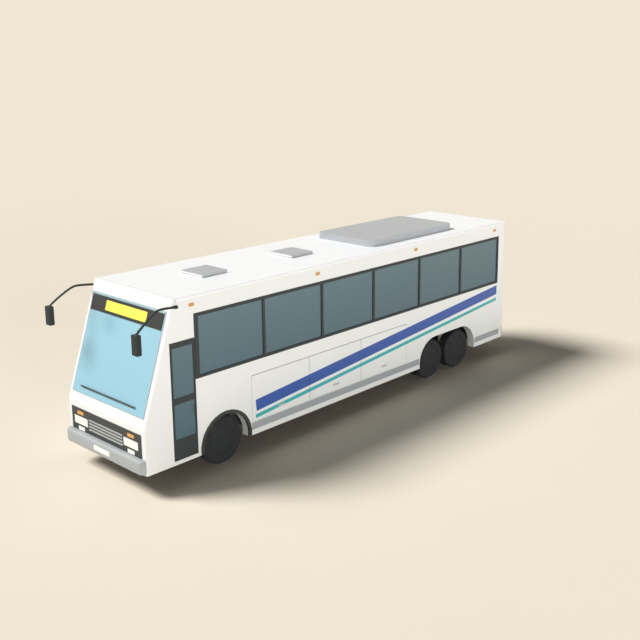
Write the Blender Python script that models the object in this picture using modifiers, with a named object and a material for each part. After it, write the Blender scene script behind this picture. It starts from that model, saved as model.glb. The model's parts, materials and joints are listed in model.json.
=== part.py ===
# Three-axle coach bus, right-hand drive: body shell, running gear and doors as separate solids.
# Metres, +Z up, road at z = 0. The front looks along -Y and the passenger door is on the +X side.
# Places along the bus are stations: distances behind the nose, the flat lower part of the front.

import math

import bmesh
import bpy
from mathutils import Matrix, Vector

# Body shell
BODY_WIDTH = 2.55
BODY_LENGTH = 11.62
ROOF_HEIGHT = 3.62
SKIRT_HEIGHT = 0.42
PANEL = 0.06
SEAM = 0.0003
OVERRUN = 0.02
KINK_HEIGHT = 1.31
RAKE_DEPTH = 0.758
CORNER_RADIUS = 0.022
ROOF_EDGE_RADIUS = 0.03
ARC_STEPS = 3
GRID_DIGITS = 5

# Moving panels
PANEL_SEAM = 0.006
PIVOT_SEAM = 0.014
PIVOT_INSET = 0.012
PIN_RADIUS = 0.006
PIN_CLEARANCE = 0.0005
PIN_REACH = 0.006
PIN_BITE = 0.012
ROUND_STEPS = 16

# Glazing
GLASS = 0.008
WINDOW_RECESS = 0.03
WINDOW_FLANGE = 0.014
FRAME_PROUD = 0.004
SIDE_FRAME_FRONT = 1.193
SIDE_FRAME_REAR = 11.34
SIDE_FRAME_BOTTOM = 1.982
SIDE_FRAME_TOP = 3.262
FRAME_END_POST = 0.103
FRAME_REAR_POST = 0.056
FRAME_SILL = 0.055
FRAME_HEAD = 0.07
MULLION = 0.062
PANE_COUNT = 6
CAB_WINDOW_BOTTOM = 1.67
CAB_FRAME_EDGE = 0.045
WINDSCREEN_SIDE_MARGIN = 0.103
WINDSCREEN_BOTTOM = 1.498
WINDSCREEN_TOP = 3.378
WINDSCREEN_THICKNESS = 0.024
WINDSCREEN_PROUD = 0.012
WINDSCREEN_FLANGE = 0.05
WINDSCREEN_CORNER = 0.02
REAR_WINDOW_SIDE_MARGIN = 0.275
REAR_WINDOW_BOTTOM = 2.12
REAR_WINDOW_TOP = 3.12
REAR_WINDOW_CORNER = 0.08
REAR_WINDOW_PROUD = 0.004
HEADER_SIDE_MARGIN = 0.125
HEADER_BOTTOM = 3.045
HEADER_TOP = 3.342
HEADER_DEPTH = 0.01
SIGN_SIDE_MARGIN = 0.615
SIGN_BOTTOM = 3.11
SIGN_TOP = 3.29
SIGN_PROUD = 0.006
WIPER_HEIGHT = 1.626
WIPER_END_MARGIN = 0.28
WIPER_WIDTH = 0.03
WIPER_DEPTH = 0.03

# Passenger door, left side, ahead of the front wheel
DOOR_FRONT = 0.622
DOOR_REAR = 1.188
DOOR_BOTTOM = 0.495
DOOR_TOP = 2.805
DOOR_THICKNESS = 0.04
DOOR_PROUD = 0.004
DOOR_STILE = 0.03
DOOR_HEAD = 0.1
DOOR_RAIL_BOTTOM = 1.61
DOOR_RAIL_TOP = 1.715
KICK_TOP = 0.902
DOOR_GLASS_SET = 0.012
GLASS_BITE = 0.012

# Luggage flaps
BAY_FRONT = 2.555
BAY_PITCH = 1.645
BAY_COUNT = 3
BAY_POST = 0.016
FLAP_BOTTOM = 0.69
FLAP_TOP = 1.67
FLAP_THICKNESS = 0.022
FLAP_BACK_SPACE = 0.012
BAY_LIP = 0.045
HANDLE_HEIGHT = 0.837
HANDLE_LENGTH = 0.15
HANDLE_WIDTH = 0.024
HANDLE_PROUD = 0.012

# Skirt rubbing band, arch lips and side markers
BAND_BOTTOM = 0.535
BAND_TOP = 0.682
BAND_PROUD = 0.004
BAND_REAR_END = 11.46
MARKER_FIRST = 1.154
MARKER_PITCH = 3.323
MARKER_COUNT = 4
MARKER_HEIGHT = 3.443
MARKER_LENGTH = 0.115
MARKER_WIDTH = 0.065
MARKER_PROUD = 0.012
ARCH_RADIUS = 0.577
ARCH_CENTRE_HEIGHT = 0.5
ARCH_STATION = 1.89
ARCH_LIP_WIDTH = 0.07
ARCH_LIP_PROUD = 0.012
ARCH_RETURN = 0.2
ARCH_SHEET = 0.02
ARCH_FOOT = 0.006
ARCH_STEPS = 16
TANDEM_ARCH_RADIUS = 0.6
TANDEM_ARCH_HEIGHT = 0.515

# Wheels and axles
WHEEL_RADIUS = 0.495
TYRE_WIDTH = 0.28
RIM_RADIUS = 0.3
RIM_WALL = 0.014
TYRE_SHOULDER = 0.035
WHEEL_INSET = 0.13
TWIN_SPACING = 0.32
WHEEL_STEPS = 28
FRONT_AXLE = 1.893
DRIVE_AXLE = 8.6
TAG_AXLE = 9.715
KINGPIN_INSET = 0.245
KINGPIN_RADIUS = 0.022
SPINDLE_RADIUS = 0.045
HUB_RADIUS = 0.1
BEARING_CLEARANCE = 0.0005
AXLE_TUBE_RADIUS = 0.07
EYE_RADIUS = 0.05
EYE_HALF_HEIGHT = 0.065
YOKE_EAR = 0.04
YOKE_CLEARANCE = 0.005
BELLOWS_RADIUS = 0.1

# Chassis, floor and engine
RAIL_TYRE_GAP = 0.085
RAIL_WIDTH = 0.08
RAIL_HEIGHT = 0.14
RAIL_LOW = 0.44
RAIL_HIGH = 0.77
RAIL_FRONT = 0.57
RAIL_REAR = 0.49
RAIL_CRANK = 0.26
MEMBER_INSET = 0.4
FRONT_MEMBER = 0.35
STEP_MEMBER = 1.0
DECK_TOP = 1.33
DECK = 0.06
PLATFORM_TOP = 1.02
STEP_SHEET = 0.04
STEP_TREAD = 0.3
HOLD_SHEET = 0.04
WELL_RAIL_GAP = 0.04
ENGINE_LENGTH = 0.8
ENGINE_TOP = 1.19

# Front mask, lamps and bumpers
MASK_SIDE_MARGIN = 0.12
MASK_BOTTOM = 0.735
MASK_TOP = 1.195
MASK_THICKNESS = 0.02
MASK_PROUD = 0.008
GRILLE_LAMP_GAP = 0.045
GRILLE_BOTTOM = 0.805
GRILLE_TOP = 1.062
GRILLE_DEPTH = 0.04
GRILLE_BARS = 4
GRILLE_BAR = 0.03
HEADLAMP_INNER_MARGIN = 0.665
HEADLAMP_OUTER_MARGIN = 0.225
HEADLAMP_BOTTOM = 0.87
HEADLAMP_TOP = 1.025
INDICATOR_INNER_MARGIN = 0.535
INDICATOR_OUTER_MARGIN = 0.335
INDICATOR_BOTTOM = 1.074
INDICATOR_TOP = 1.138
FOG_INNER_MARGIN = 0.55
FOG_OUTER_MARGIN = 0.345
FOG_BOTTOM = 0.748
FOG_TOP = 0.822
LENS_PROUD = 0.01
LENS_FIT = 0.002
BUMPER_SIDE_MARGIN = 0.005
BUMPER_DEPTH = 0.12
BUMPER_BOTTOM = 0.45
BUMPER_TOP = 0.732
BUMPER_CORNER = 0.09
BUMPER_EDGE = 0.04
REAR_BUMPER_DEPTH = 0.09
REAR_LAMP_INNER_MARGIN = 0.275
REAR_LAMP_OUTER_MARGIN = 0.075
REAR_LAMP_BOTTOM = 1.02
REAR_LAMP_TOP = 1.82
REAR_LAMP_SET = 0.02
ENGINE_DOOR_SIDE_MARGIN = 0.425
ENGINE_DOOR_BOTTOM = 0.87
ENGINE_DOOR_TOP = 1.85
LOUVRE_COUNT = 9
LOUVRE_PROUD = 0.012

# Roof equipment
HATCH_STATIONS = (2.5, 4.96)
HATCH_WIDTH = 0.7
HATCH_LENGTH = 0.66
HATCH_HEIGHT = 0.05
HATCH_LIP = 0.06
HATCH_LIFT = 0.008
HATCH_PIN_SHARE = 0.6
COOLER_FRONT = 6.63
COOLER_LENGTH = 3.17
COOLER_SIDE_MARGIN = 0.405
COOLER_HEIGHT = 0.15
COOLER_CORNER = 0.16
COOLER_EDGE = 0.05

# Mirrors: root on the side wall, head ahead of the screen
MIRROR_ROOT_STATION = 0.8
MIRROR_ROOT_HEIGHT = 3.47
MIRROR_OUT = 0.157
MIRROR_AHEAD = 0.175
MIRROR_HEAD_BOTTOM = 2.82
MIRROR_HEAD_TOP = 3.195
MIRROR_HEAD_WIDTH = 0.16
MIRROR_HEAD_DEPTH = 0.1
MIRROR_ARM_RADIUS = 0.023
# Shares of the arm's reach outwards, forwards and downwards
MIRROR_ARM_SHARES = (
    (0.26, 0.0, 0.0),
    (0.36, 0.2, -0.1),
    (0.47, 0.4, -0.17),
    (0.56, 0.5, -0.12),
    (0.72, 0.66, 0.18),
    (0.88, 0.83, 0.58),
    (1.0, 0.98, 0.95),
    (1.0, 1.0, 1.1),
)

# Seats and driver's place
SEAT_WIDTH = 0.43
SEAT_GAP = 0.03
SEAT_WALL_GAP = 0.105
SEAT_PITCH = 0.82
SEAT_REAR_SPACE = 0.9
SEAT_FIRST = 1.75
SEAT_LENGTH = 0.66
SEAT_HEIGHT = 1.16
SEAT_RUN = BODY_LENGTH - PANEL - SEAT_REAR_SPACE - SEAT_FIRST - SEAT_LENGTH
SEAT_ROWS = 1 + int(SEAT_RUN / SEAT_PITCH)
SEAT_RAIL_HEIGHT = 0.03
SEAT_RAIL_WIDTH = 0.04
SEAT_LEG = 0.05
# Outline of a seat seen from its side, as shares of its length and height
SEAT_SHARES = (
    (0.0, 0.28),
    (0.0, 0.37),
    (0.06, 0.405),
    (0.62, 0.38),
    (0.8, 0.95),
    (0.86, 1.0),
    (0.97, 0.99),
    (1.0, 0.94),
    (0.8, 0.31),
    (0.68, 0.26),
)
DRIVER_SIDE_MARGIN = 0.675
DRIVER_SEAT_STATION = 0.54
DRIVER_SEAT_HALF_WIDTH = 0.25
WHEEL_HUB_STATION = 0.46
WHEEL_HUB_HEIGHT = 1.71
STEERING_TILT = math.radians(30)
STEERING_RADIUS = 0.22
STEERING_RIM = 0.014
COLUMN_RADIUS = 0.035
COLUMN_LENGTH = 0.48
DASH_SIDE_MARGIN = 0.125
DASH_DEPTH = 0.42
DASH_HEIGHT = 0.48
# Outline of the dashboard, as shares of its depth and height
DASH_SHARES = (
    (0.0, 0.0),
    (0.0, 0.5),
    (0.16, 0.93),
    (0.55, 1.0),
    (0.88, 0.86),
    (1.0, 0.55),
    (0.68, 0.32),
    (0.58, 0.0),
)

# Worked out from the sizes above
SIDE = BODY_WIDTH / 2
INSIDE = SIDE - PANEL - SEAM
ROOF_UNDER = ROOF_HEIGHT - PANEL
MIRROR_REACH = MIRROR_AHEAD + MIRROR_HEAD_DEPTH / 2
NOSE = -(BODY_LENGTH + REAR_BUMPER_DEPTH + SEAM - MIRROR_REACH) / 2
RAKE_ANGLE = math.atan2(RAKE_DEPTH, ROOF_HEIGHT - KINK_HEIGHT)
TYRE_OUTER = SIDE - WHEEL_INSET
WHEEL_CENTRE = TYRE_OUTER - TYRE_WIDTH / 2
WINDSCREEN_HALF_WIDTH = SIDE - WINDSCREEN_SIDE_MARGIN
REAR_WINDOW_HALF_WIDTH = SIDE - REAR_WINDOW_SIDE_MARGIN
HEADER_HALF_WIDTH = SIDE - HEADER_SIDE_MARGIN
SIGN_HALF_WIDTH = SIDE - SIGN_SIDE_MARGIN
WIPER_HALF_LENGTH = WINDSCREEN_HALF_WIDTH - WIPER_END_MARGIN
KINGPIN_HALF_TRACK = TYRE_OUTER - KINGPIN_INSET
RAIL_OUTER = TYRE_OUTER - TYRE_WIDTH - TWIN_SPACING - RAIL_TYRE_GAP
WELL_INNER = RAIL_OUTER + WELL_RAIL_GAP
MASK_HALF_WIDTH = SIDE - MASK_SIDE_MARGIN
HEADLAMP_INNER = SIDE - HEADLAMP_INNER_MARGIN
HEADLAMP_OUTER = SIDE - HEADLAMP_OUTER_MARGIN
GRILLE_HALF_WIDTH = HEADLAMP_INNER - GRILLE_LAMP_GAP
INDICATOR_INNER = SIDE - INDICATOR_INNER_MARGIN
INDICATOR_OUTER = SIDE - INDICATOR_OUTER_MARGIN
FOG_INNER = SIDE - FOG_INNER_MARGIN
FOG_OUTER = SIDE - FOG_OUTER_MARGIN
BUMPER_HALF_WIDTH = SIDE - BUMPER_SIDE_MARGIN
REAR_LAMP_INNER = SIDE - REAR_LAMP_INNER_MARGIN
REAR_LAMP_OUTER = SIDE - REAR_LAMP_OUTER_MARGIN
ENGINE_DOOR_HALF_WIDTH = SIDE - ENGINE_DOOR_SIDE_MARGIN
COOLER_WIDTH = BODY_WIDTH - 2 * COOLER_SIDE_MARGIN
SEAT_OUTER = SIDE - SEAT_WALL_GAP
DRIVER_X = DRIVER_SIDE_MARGIN - SIDE
DASH_HALF_WIDTH = SIDE - DASH_SIDE_MARGIN
RAIL_INNER = RAIL_OUTER - RAIL_WIDTH
BAY_REAR = BAY_FRONT + BAY_COUNT * BAY_PITCH
WELL_FRONT = ARCH_STATION - ARCH_RADIUS - ARCH_SHEET - PANEL
WELL_REAR = ARCH_STATION + ARCH_RADIUS + ARCH_SHEET + OVERRUN / 2
TANDEM_FRONT = DRIVE_AXLE - TANDEM_ARCH_RADIUS
TANDEM_REAR = TAG_AXLE + TANDEM_ARCH_RADIUS
HOLD_REAR = TANDEM_FRONT - ARCH_SHEET - PANEL
DECK_END = BODY_LENGTH - PANEL - SEAM
ENGINE_FRONT = TANDEM_REAR + ARCH_SHEET + PANEL

for old in list(bpy.data.objects):
    bpy.data.objects.remove(old, do_unlink=True)

parts = bpy.data.collections.new("coach_bus")
cutters = bpy.data.collections.new("cutters")
bpy.context.scene.collection.children.link(parts)
bpy.context.scene.collection.children.link(cutters)


# Materials

def paint(name, colour, roughness=0.5, metallic=0.0, alpha=1.0):
    material = bpy.data.materials.new(name)
    material.use_nodes = True
    shader = material.node_tree.nodes["Principled BSDF"]
    shader.inputs["Base Color"].default_value = (*colour, 1.0)
    shader.inputs["Roughness"].default_value = roughness
    shader.inputs["Metallic"].default_value = metallic
    shader.inputs["Alpha"].default_value = alpha
    return material


WHITE = paint("white_paint", (0.86, 0.86, 0.83), 0.35)
ROOF_WHITE = paint("roof_paint", (0.9, 0.9, 0.88), 0.4)
DARK_TRIM = paint("dark_trim", (0.06, 0.07, 0.07), 0.45)
SIDE_GLASS = paint("side_glass", (0.11, 0.18, 0.2), 0.1, 0.0, 0.6)
SCREEN_GLASS = paint("screen_glass", (0.4, 0.72, 0.8), 0.1, 0.0, 0.5)
SIGN = paint("sign_panel", (0.1, 0.1, 0.1), 0.5)
GREY_PLASTIC = paint("grey_plastic", (0.5, 0.52, 0.51), 0.5)
HATCH_GREY = paint("hatch_grey", (0.54, 0.54, 0.54), 0.5)
LAMP = paint("lamp_lens", (0.9, 0.88, 0.8), 0.15)
TAIL_LAMP = paint("tail_lamp", (0.5, 0.03, 0.03), 0.2)
TYRE = paint("tyre_rubber", (0.033, 0.035, 0.037), 0.85)
RIM = paint("wheel_cover", (0.04, 0.042, 0.045), 0.5, 0.2)
STEEL = paint("chassis_steel", (0.07, 0.07, 0.075), 0.6, 0.4)
CASTING = paint("axle_casting", (0.1, 0.1, 0.1), 0.6, 0.5)
FLOORING = paint("floor_vinyl", (0.2, 0.21, 0.22), 0.7)
SEAT_CLOTH = paint("seat_cloth", (0.08, 0.13, 0.25), 0.9)
DASH_PLASTIC = paint("dash_plastic", (0.08, 0.08, 0.09), 0.6)
ENGINE_IRON = paint("engine_iron", (0.12, 0.13, 0.13), 0.6, 0.5)


# Shapes

def at(station):
    return NOSE + station


def keep(obj, material):
    parts.objects.link(obj)
    obj.data.materials.clear()
    obj.data.materials.append(material)
    return obj


def mesh_object(name, mesh, material=None):
    obj = bpy.data.objects.new(name, mesh)
    if material:
        return keep(obj, material)
    cutters.objects.link(obj)
    obj.hide_render = True
    obj.display_type = "WIRE"
    return obj


def from_bmesh(name, shape, material=None, snap=True):
    """Corners snap to a fine grid, so that faces meant to lie in one plane really do."""
    if snap:
        for vert in shape.verts:
            vert.co = [round(value, GRID_DIGITS) for value in vert.co]
    bmesh.ops.recalc_face_normals(shape, faces=shape.faces)
    mesh = bpy.data.meshes.new(name)
    shape.to_mesh(mesh)
    shape.free()
    return mesh_object(name, mesh, material)


def boxes(name, corners, material=None, frame=None):
    """One object of several boxes, each given by two opposite corners."""
    shape = bmesh.new()
    for one, other in corners:
        low = Vector([min(pair) for pair in zip(one, other)])
        high = Vector([max(pair) for pair in zip(one, other)])
        spread = Matrix.Translation((low + high) / 2) @ Matrix.Diagonal((*(high - low), 1))
        bmesh.ops.create_cube(shape, size=1, matrix=(frame or Matrix()) @ spread)
    return from_bmesh(name, shape, material, frame is None)


def box(name, one, other, material=None, frame=None):
    return boxes(name, [(one, other)], material, frame)


AXIS_FRAMES = {
    "X": Matrix(((0, 0, 1, 0), (1, 0, 0, 0), (0, 1, 0, 0), (0, 0, 0, 1))),
    "Y": Matrix(((1, 0, 0, 0), (0, 0, -1, 0), (0, 1, 0, 0), (0, 0, 0, 1))),
    "Z": Matrix(),
}
AXIS_VECTORS = {"X": Vector((1, 0, 0)), "Y": Vector((0, 1, 0)), "Z": Vector((0, 0, 1))}


def prism(name, outlines, axis, start, stop, material=None, frame=None):
    """A flat outline, with any holes after it, extruded along an axis from start to stop."""
    curve = bpy.data.curves.new(name, "CURVE")
    curve.dimensions = "2D"
    curve.fill_mode = "BOTH"
    curve.extrude = abs(stop - start) / 2
    for points in outlines:
        spline = curve.splines.new("POLY")
        spline.points.add(len(points) - 1)
        spline.use_cyclic_u = True
        for point, (across, up) in zip(spline.points, points):
            point.co = (across, up, 0, 1)
    flat = bpy.data.objects.new(name, curve)
    bpy.context.scene.collection.objects.link(flat)
    graph = bpy.context.evaluated_depsgraph_get()
    mesh = bpy.data.meshes.new_from_object(flat.evaluated_get(graph))
    bpy.data.objects.remove(flat, do_unlink=True)
    shift = Matrix.Translation(AXIS_VECTORS[axis] * (start + stop) / 2)
    mesh.transform((frame or Matrix()) @ shift @ AXIS_FRAMES[axis])
    shape = bmesh.new()
    shape.from_mesh(mesh)
    bmesh.ops.remove_doubles(shape, verts=shape.verts, dist=SEAM / 10)
    return from_bmesh(name, shape, material, frame is None)


def rod(name, start, stop, radius, material=None, steps=ROUND_STEPS, end_radius=None):
    start = Vector(start)
    along = Vector(stop) - start
    turn = along.to_track_quat("Z", "Y").to_matrix().to_4x4()
    shape = bmesh.new()
    bmesh.ops.create_cone(
        shape,
        cap_ends=True,
        segments=steps,
        radius1=radius,
        radius2=radius if end_radius is None else end_radius,
        depth=along.length,
        matrix=Matrix.Translation(start + along / 2) @ turn,
    )
    level = sum(abs(part) > SEAM for part in along) == 1
    return from_bmesh(name, shape, material, level)


def turned(name, profile, centre, side, steps, material=None):
    """A closed profile of (radius, distance outwards) pairs, turned about a line along X."""
    mesh = bpy.data.meshes.new(name)
    points = [(radius, 0, outwards) for radius, outwards in profile]
    pairs = [(i, (i + 1) % len(points)) for i in range(len(points))]
    edges = [(i, j) for i, j in pairs if points[i][0] or points[j][0]]
    mesh.from_pydata(points, edges, [])
    obj = mesh_object(name, mesh, material)
    obj.matrix_world = Matrix.Translation(centre) @ Matrix.Rotation(side * math.pi / 2, 4, "Y")
    screw = obj.modifiers.new("turn", "SCREW")
    screw.axis = "Z"
    screw.angle = math.tau
    screw.steps = steps
    screw.render_steps = steps
    screw.use_merge_vertices = True
    screw.merge_threshold = SEAM / 10
    screw.use_smooth_shade = True
    return obj


def tube(name, points, radius, material=None, loops=2):
    curve = bpy.data.curves.new(name, "CURVE")
    curve.dimensions = "3D"
    curve.bevel_depth = radius
    curve.bevel_resolution = loops
    curve.use_fill_caps = True
    curve.resolution_u = 3
    spline = curve.splines.new("NURBS")
    spline.points.add(len(points) - 1)
    spline.order_u = 4
    spline.use_endpoint_u = True
    for point, place in zip(spline.points, points):
        point.co = (*place, 1)
    obj = bpy.data.objects.new(name, curve)
    bpy.context.scene.collection.objects.link(obj)
    graph = bpy.context.evaluated_depsgraph_get()
    mesh = bpy.data.meshes.new_from_object(obj.evaluated_get(graph))
    bpy.data.objects.remove(obj, do_unlink=True)
    shape = bmesh.new()
    shape.from_mesh(mesh)
    bmesh.ops.remove_doubles(shape, verts=shape.verts, dist=SEAM / 10)
    return from_bmesh(name, shape, material, False)


def combine(target, tool, operation):
    if tool.name in parts.objects:
        parts.objects.unlink(tool)
        cutters.objects.link(tool)
        tool.hide_render = True
        tool.display_type = "WIRE"
    modifier = target.modifiers.new(tool.name, "BOOLEAN")
    modifier.operation = operation
    modifier.object = tool
    modifier.solver = "EXACT"
    return modifier


def cut(target, *tools):
    for tool in tools:
        combine(target, tool, "DIFFERENCE")


def join(target, *tools):
    for tool in tools:
        combine(target, tool, "UNION")


def soften(obj, width, segments=2):
    bevel = obj.modifiers.new("edges", "BEVEL")
    bevel.width = width
    bevel.segments = segments
    bevel.limit_method = "ANGLE"
    bevel.angle_limit = math.radians(40)
    bevel.use_clamp_overlap = True
    return obj


def round_edges(obj, chosen, width, segments=3):
    """Rounds the edges whose two ends both pass the test."""
    shape = bmesh.new()
    shape.from_mesh(obj.data)
    edges = [edge for edge in shape.edges if chosen(*(vert.co for vert in edge.verts))]
    bmesh.ops.bevel(
        shape,
        geom=edges,
        offset=width,
        segments=segments,
        profile=0.5,
        affect="EDGES",
        material=-1,
        clamp_overlap=True,
    )
    shape.to_mesh(obj.data)
    shape.free()
    return obj


def arc(across, up, radius, start, stop, steps):
    turns = [start + (stop - start) * i / steps for i in range(steps + 1)]
    return [(across + radius * math.cos(turn), up + radius * math.sin(turn)) for turn in turns]


def rounded(low, high, radius, steps=ARC_STEPS):
    """A rectangle with round corners, anticlockwise from its lower left."""
    (left, bottom), (right, top) = low, high
    corners = (
        (left + radius, bottom + radius, math.pi),
        (right - radius, bottom + radius, 1.5 * math.pi),
        (right - radius, top - radius, 0),
        (left + radius, top - radius, 0.5 * math.pi),
    )
    points = []
    for across, up, turn in corners:
        points += arc(across, up, radius, turn, turn + math.pi / 2, steps)
    return points


def rectangle(low, high):
    return [low, (high[0], low[1]), high, (low[0], high[1])]


def arch(front, rear, height, radius, bottom):
    """An arch's edge from its front foot, over its top, to its rear foot, as (y, z) points."""
    drop = math.asin((height - bottom) / radius)
    rise = arc(at(front), height, radius, math.pi + drop, math.pi / 2, ARCH_STEPS // 2)
    fall = arc(at(rear), height, radius, math.pi / 2, -drop, ARCH_STEPS // 2)
    return rise + (fall if rear > front else fall[1:])


def nose_station(height):
    """How far behind the nose the front's outer face stands at a height."""
    share = max(0, height - KINK_HEIGHT) / (ROOF_HEIGHT - KINK_HEIGHT)
    return RAKE_DEPTH * share


def rake_frame():
    """Across, up the screen and out of it, from the kink in the front's face."""
    lean = Matrix.Rotation(math.pi / 2 - RAKE_ANGLE, 4, "X")
    return Matrix.Translation((0, at(0), KINK_HEIGHT)) @ lean


def up_rake(height):
    return (height - KINK_HEIGHT) / math.cos(RAKE_ANGLE)


def pivots(child, parent, ends, inward):
    """Pins out of both ends of a panel, and the bores they turn in."""
    low, high = Vector(ends[0]), Vector(ends[1])
    along = (high - low).normalized()
    for number, (end, out) in enumerate(((low, -along), (high, along))):
        tip = end + out * (inward + PIN_REACH)
        pin = rod(f"{child.name}_pin_{number}", end - out * PIN_BITE, tip, PIN_RADIUS)
        join(child, pin)
        deep = tip + out * PIN_CLEARANCE
        mouth = end + out * inward / 2
        bore = rod(f"{child.name}_bore_{number}", mouth, deep, PIN_RADIUS + PIN_CLEARANCE)
        cut(parent, bore)


# Body panels

def side_outline():
    """The wall's outline before its arches are cut, as (y, z) points."""
    top = ROOF_UNDER - SEAM
    return [
        (at(nose_station(top) + PANEL + SEAM), top),
        (at(PANEL + SEAM), KINK_HEIGHT),
        (at(PANEL + SEAM), SKIRT_HEIGHT),
        (at(DECK_END), SKIRT_HEIGHT),
        (at(DECK_END), top),
    ]


def arch_plate(name, side, stations, height, radius, bottom, span):
    outline = arch(*stations, height, radius, bottom)
    return prism(name, [outline], "X", side * span[0], side * span[1])


def pane_edges():
    """The front and rear station of each side pane."""
    front = SIDE_FRAME_FRONT + FRAME_END_POST
    rear = SIDE_FRAME_REAR - FRAME_REAR_POST
    width = (rear - front - MULLION * (PANE_COUNT - 1)) / PANE_COUNT
    starts = [front + i * (width + MULLION) for i in range(PANE_COUNT)]
    return [(start, start + width) for start in starts]


def window_holes(side):
    """The panes' outlines as (y, z) rectangles; the driver's window is on the right."""
    low, high = SIDE_FRAME_BOTTOM + FRAME_SILL, SIDE_FRAME_TOP - FRAME_HEAD
    holes = [((at(front), low), (at(rear), high)) for front, rear in pane_edges()]
    if side < 0:
        front = DOOR_FRONT + CAB_FRAME_EDGE
        rear = SIDE_FRAME_FRONT
        bottom = CAB_WINDOW_BOTTOM + CAB_FRAME_EDGE
        holes.append(((at(front), bottom), (at(rear), DOOR_TOP - CAB_FRAME_EDGE)))
    return holes


def window_outline(side, shrink=0.0):
    low, high = SIDE_FRAME_BOTTOM + shrink, SIDE_FRAME_TOP - shrink
    front, rear = at(SIDE_FRAME_FRONT) + shrink, at(SIDE_FRAME_REAR) - shrink
    if side > 0:
        return rectangle((front, low), (rear, high))
    cab_front, cab_rear = at(DOOR_FRONT) + shrink, at(SIDE_FRAME_FRONT + CAB_FRAME_EDGE) - shrink
    cab_low, cab_high = CAB_WINDOW_BOTTOM + shrink, DOOR_TOP - shrink
    return [
        (cab_front, cab_low),
        (cab_rear, cab_low),
        (cab_rear, low),
        (rear, low),
        (rear, high),
        (front, high),
        (front, cab_high),
        (cab_front, cab_high),
    ]


def bay_edges():
    return [(BAY_FRONT + i * BAY_PITCH, BAY_FRONT + (i + 1) * BAY_PITCH) for i in range(BAY_COUNT)]


def side_wall(side):
    """A slab with arch plates joined to it, then the arches, windows, recesses and doorway cut."""
    word = "left" if side > 0 else "right"
    name = f"side_wall_{word}"
    wall = prism(name, [side_outline()], "X", side * (SIDE - PANEL), side * SIDE, WHITE)
    single, tandem = (ARCH_STATION, ARCH_STATION), (DRIVE_AXLE, TAG_AXLE)
    height, radius = ARCH_CENTRE_HEIGHT, ARCH_RADIUS
    returns = SIDE - ARCH_RETURN, SIDE - PANEL * 3 / 4
    lip = SIDE - PANEL / 4, SIDE + ARCH_LIP_PROUD
    foot = SKIRT_HEIGHT + ARCH_FOOT
    join(
        wall,
        arch_plate(f"{name}_return", side, single, height, radius + ARCH_SHEET, foot, returns),
        arch_plate(f"{name}_lip", side, single, height, radius + ARCH_LIP_WIDTH, foot, lip),
        arch_plate(f"{name}_tandem_return", side, tandem, TANDEM_ARCH_HEIGHT, TANDEM_ARCH_RADIUS + ARCH_SHEET,
                   foot, returns),
        boxes(f"{name}_trim", side_trim(side)),
    )
    through = SIDE - ARCH_RETURN - OVERRUN, SIDE + OVERRUN
    low = SKIRT_HEIGHT - OVERRUN
    past = side * (SIDE + OVERRUN)
    behind = side * (SIDE - PANEL - OVERRUN)
    cut(
        wall,
        arch_plate(f"{name}_arch", side, single, height, radius, low, through),
        arch_plate(f"{name}_tandem", side, tandem, TANDEM_ARCH_HEIGHT, TANDEM_ARCH_RADIUS, low, through),
        prism(f"{name}_glazing_recess", [window_outline(side)], "X", side * (SIDE - WINDOW_RECESS), past),
    )
    flange = WINDOW_FLANGE
    openings = [
        ((behind, low[0] - flange, low[1] - flange), (past, high[0] + flange, high[1] + flange))
        for low, high in window_holes(side)[:PANE_COUNT]
    ]
    if side < 0:
        low, high = window_holes(side)[PANE_COUNT]
        openings.append(((behind, low[0] - flange, low[1] - flange),
                         (past, high[0] - flange, high[1] + flange)))
    cut(wall, boxes(f"{name}_panes", openings))
    recess = side * (SIDE - FLAP_THICKNESS - FLAP_BACK_SPACE)
    pockets, mouths = [], []
    for front, rear in bay_edges():
        pockets.append(((recess, at(front + BAY_POST / 2), FLAP_BOTTOM),
                        (past, at(rear - BAY_POST / 2), FLAP_TOP + PIVOT_SEAM)))
        mouths.append(((behind, at(front + BAY_LIP), FLAP_BOTTOM + BAY_LIP),
                       (past, at(rear - BAY_LIP), DECK_TOP - DECK - BAY_LIP)))
    cut(wall, boxes(f"{name}_flap_recesses", pockets), boxes(f"{name}_bay_mouths", mouths))
    if side > 0:
        low = (behind, at(DOOR_FRONT), DOOR_BOTTOM)
        cut(wall, box(f"{name}_doorway", low, (past, at(DOOR_REAR), DOOR_TOP)))
    return wall


def side_trim(side):
    """The rubbing band's two lengths and the marker lamps high on the wall."""
    inner = side * (SIDE - OVERRUN / 2)
    band = side * (SIDE + BAND_PROUD)
    front = ARCH_STATION + ARCH_RADIUS + ARCH_LIP_WIDTH + PANEL_SEAM
    lengths = ((front, TANDEM_FRONT - OVERRUN), (TANDEM_REAR + OVERRUN, BAND_REAR_END))
    trim = [((inner, at(start), BAND_BOTTOM), (band, at(end), BAND_TOP)) for start, end in lengths]
    for i in range(MARKER_COUNT):
        middle = at(MARKER_FIRST + i * MARKER_PITCH)
        trim.append(((inner, middle - MARKER_LENGTH / 2, MARKER_HEIGHT - MARKER_WIDTH / 2),
                     (side * (SIDE + MARKER_PROUD), middle + MARKER_LENGTH / 2,
                      MARKER_HEIGHT + MARKER_WIDTH / 2)))
    return trim


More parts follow.
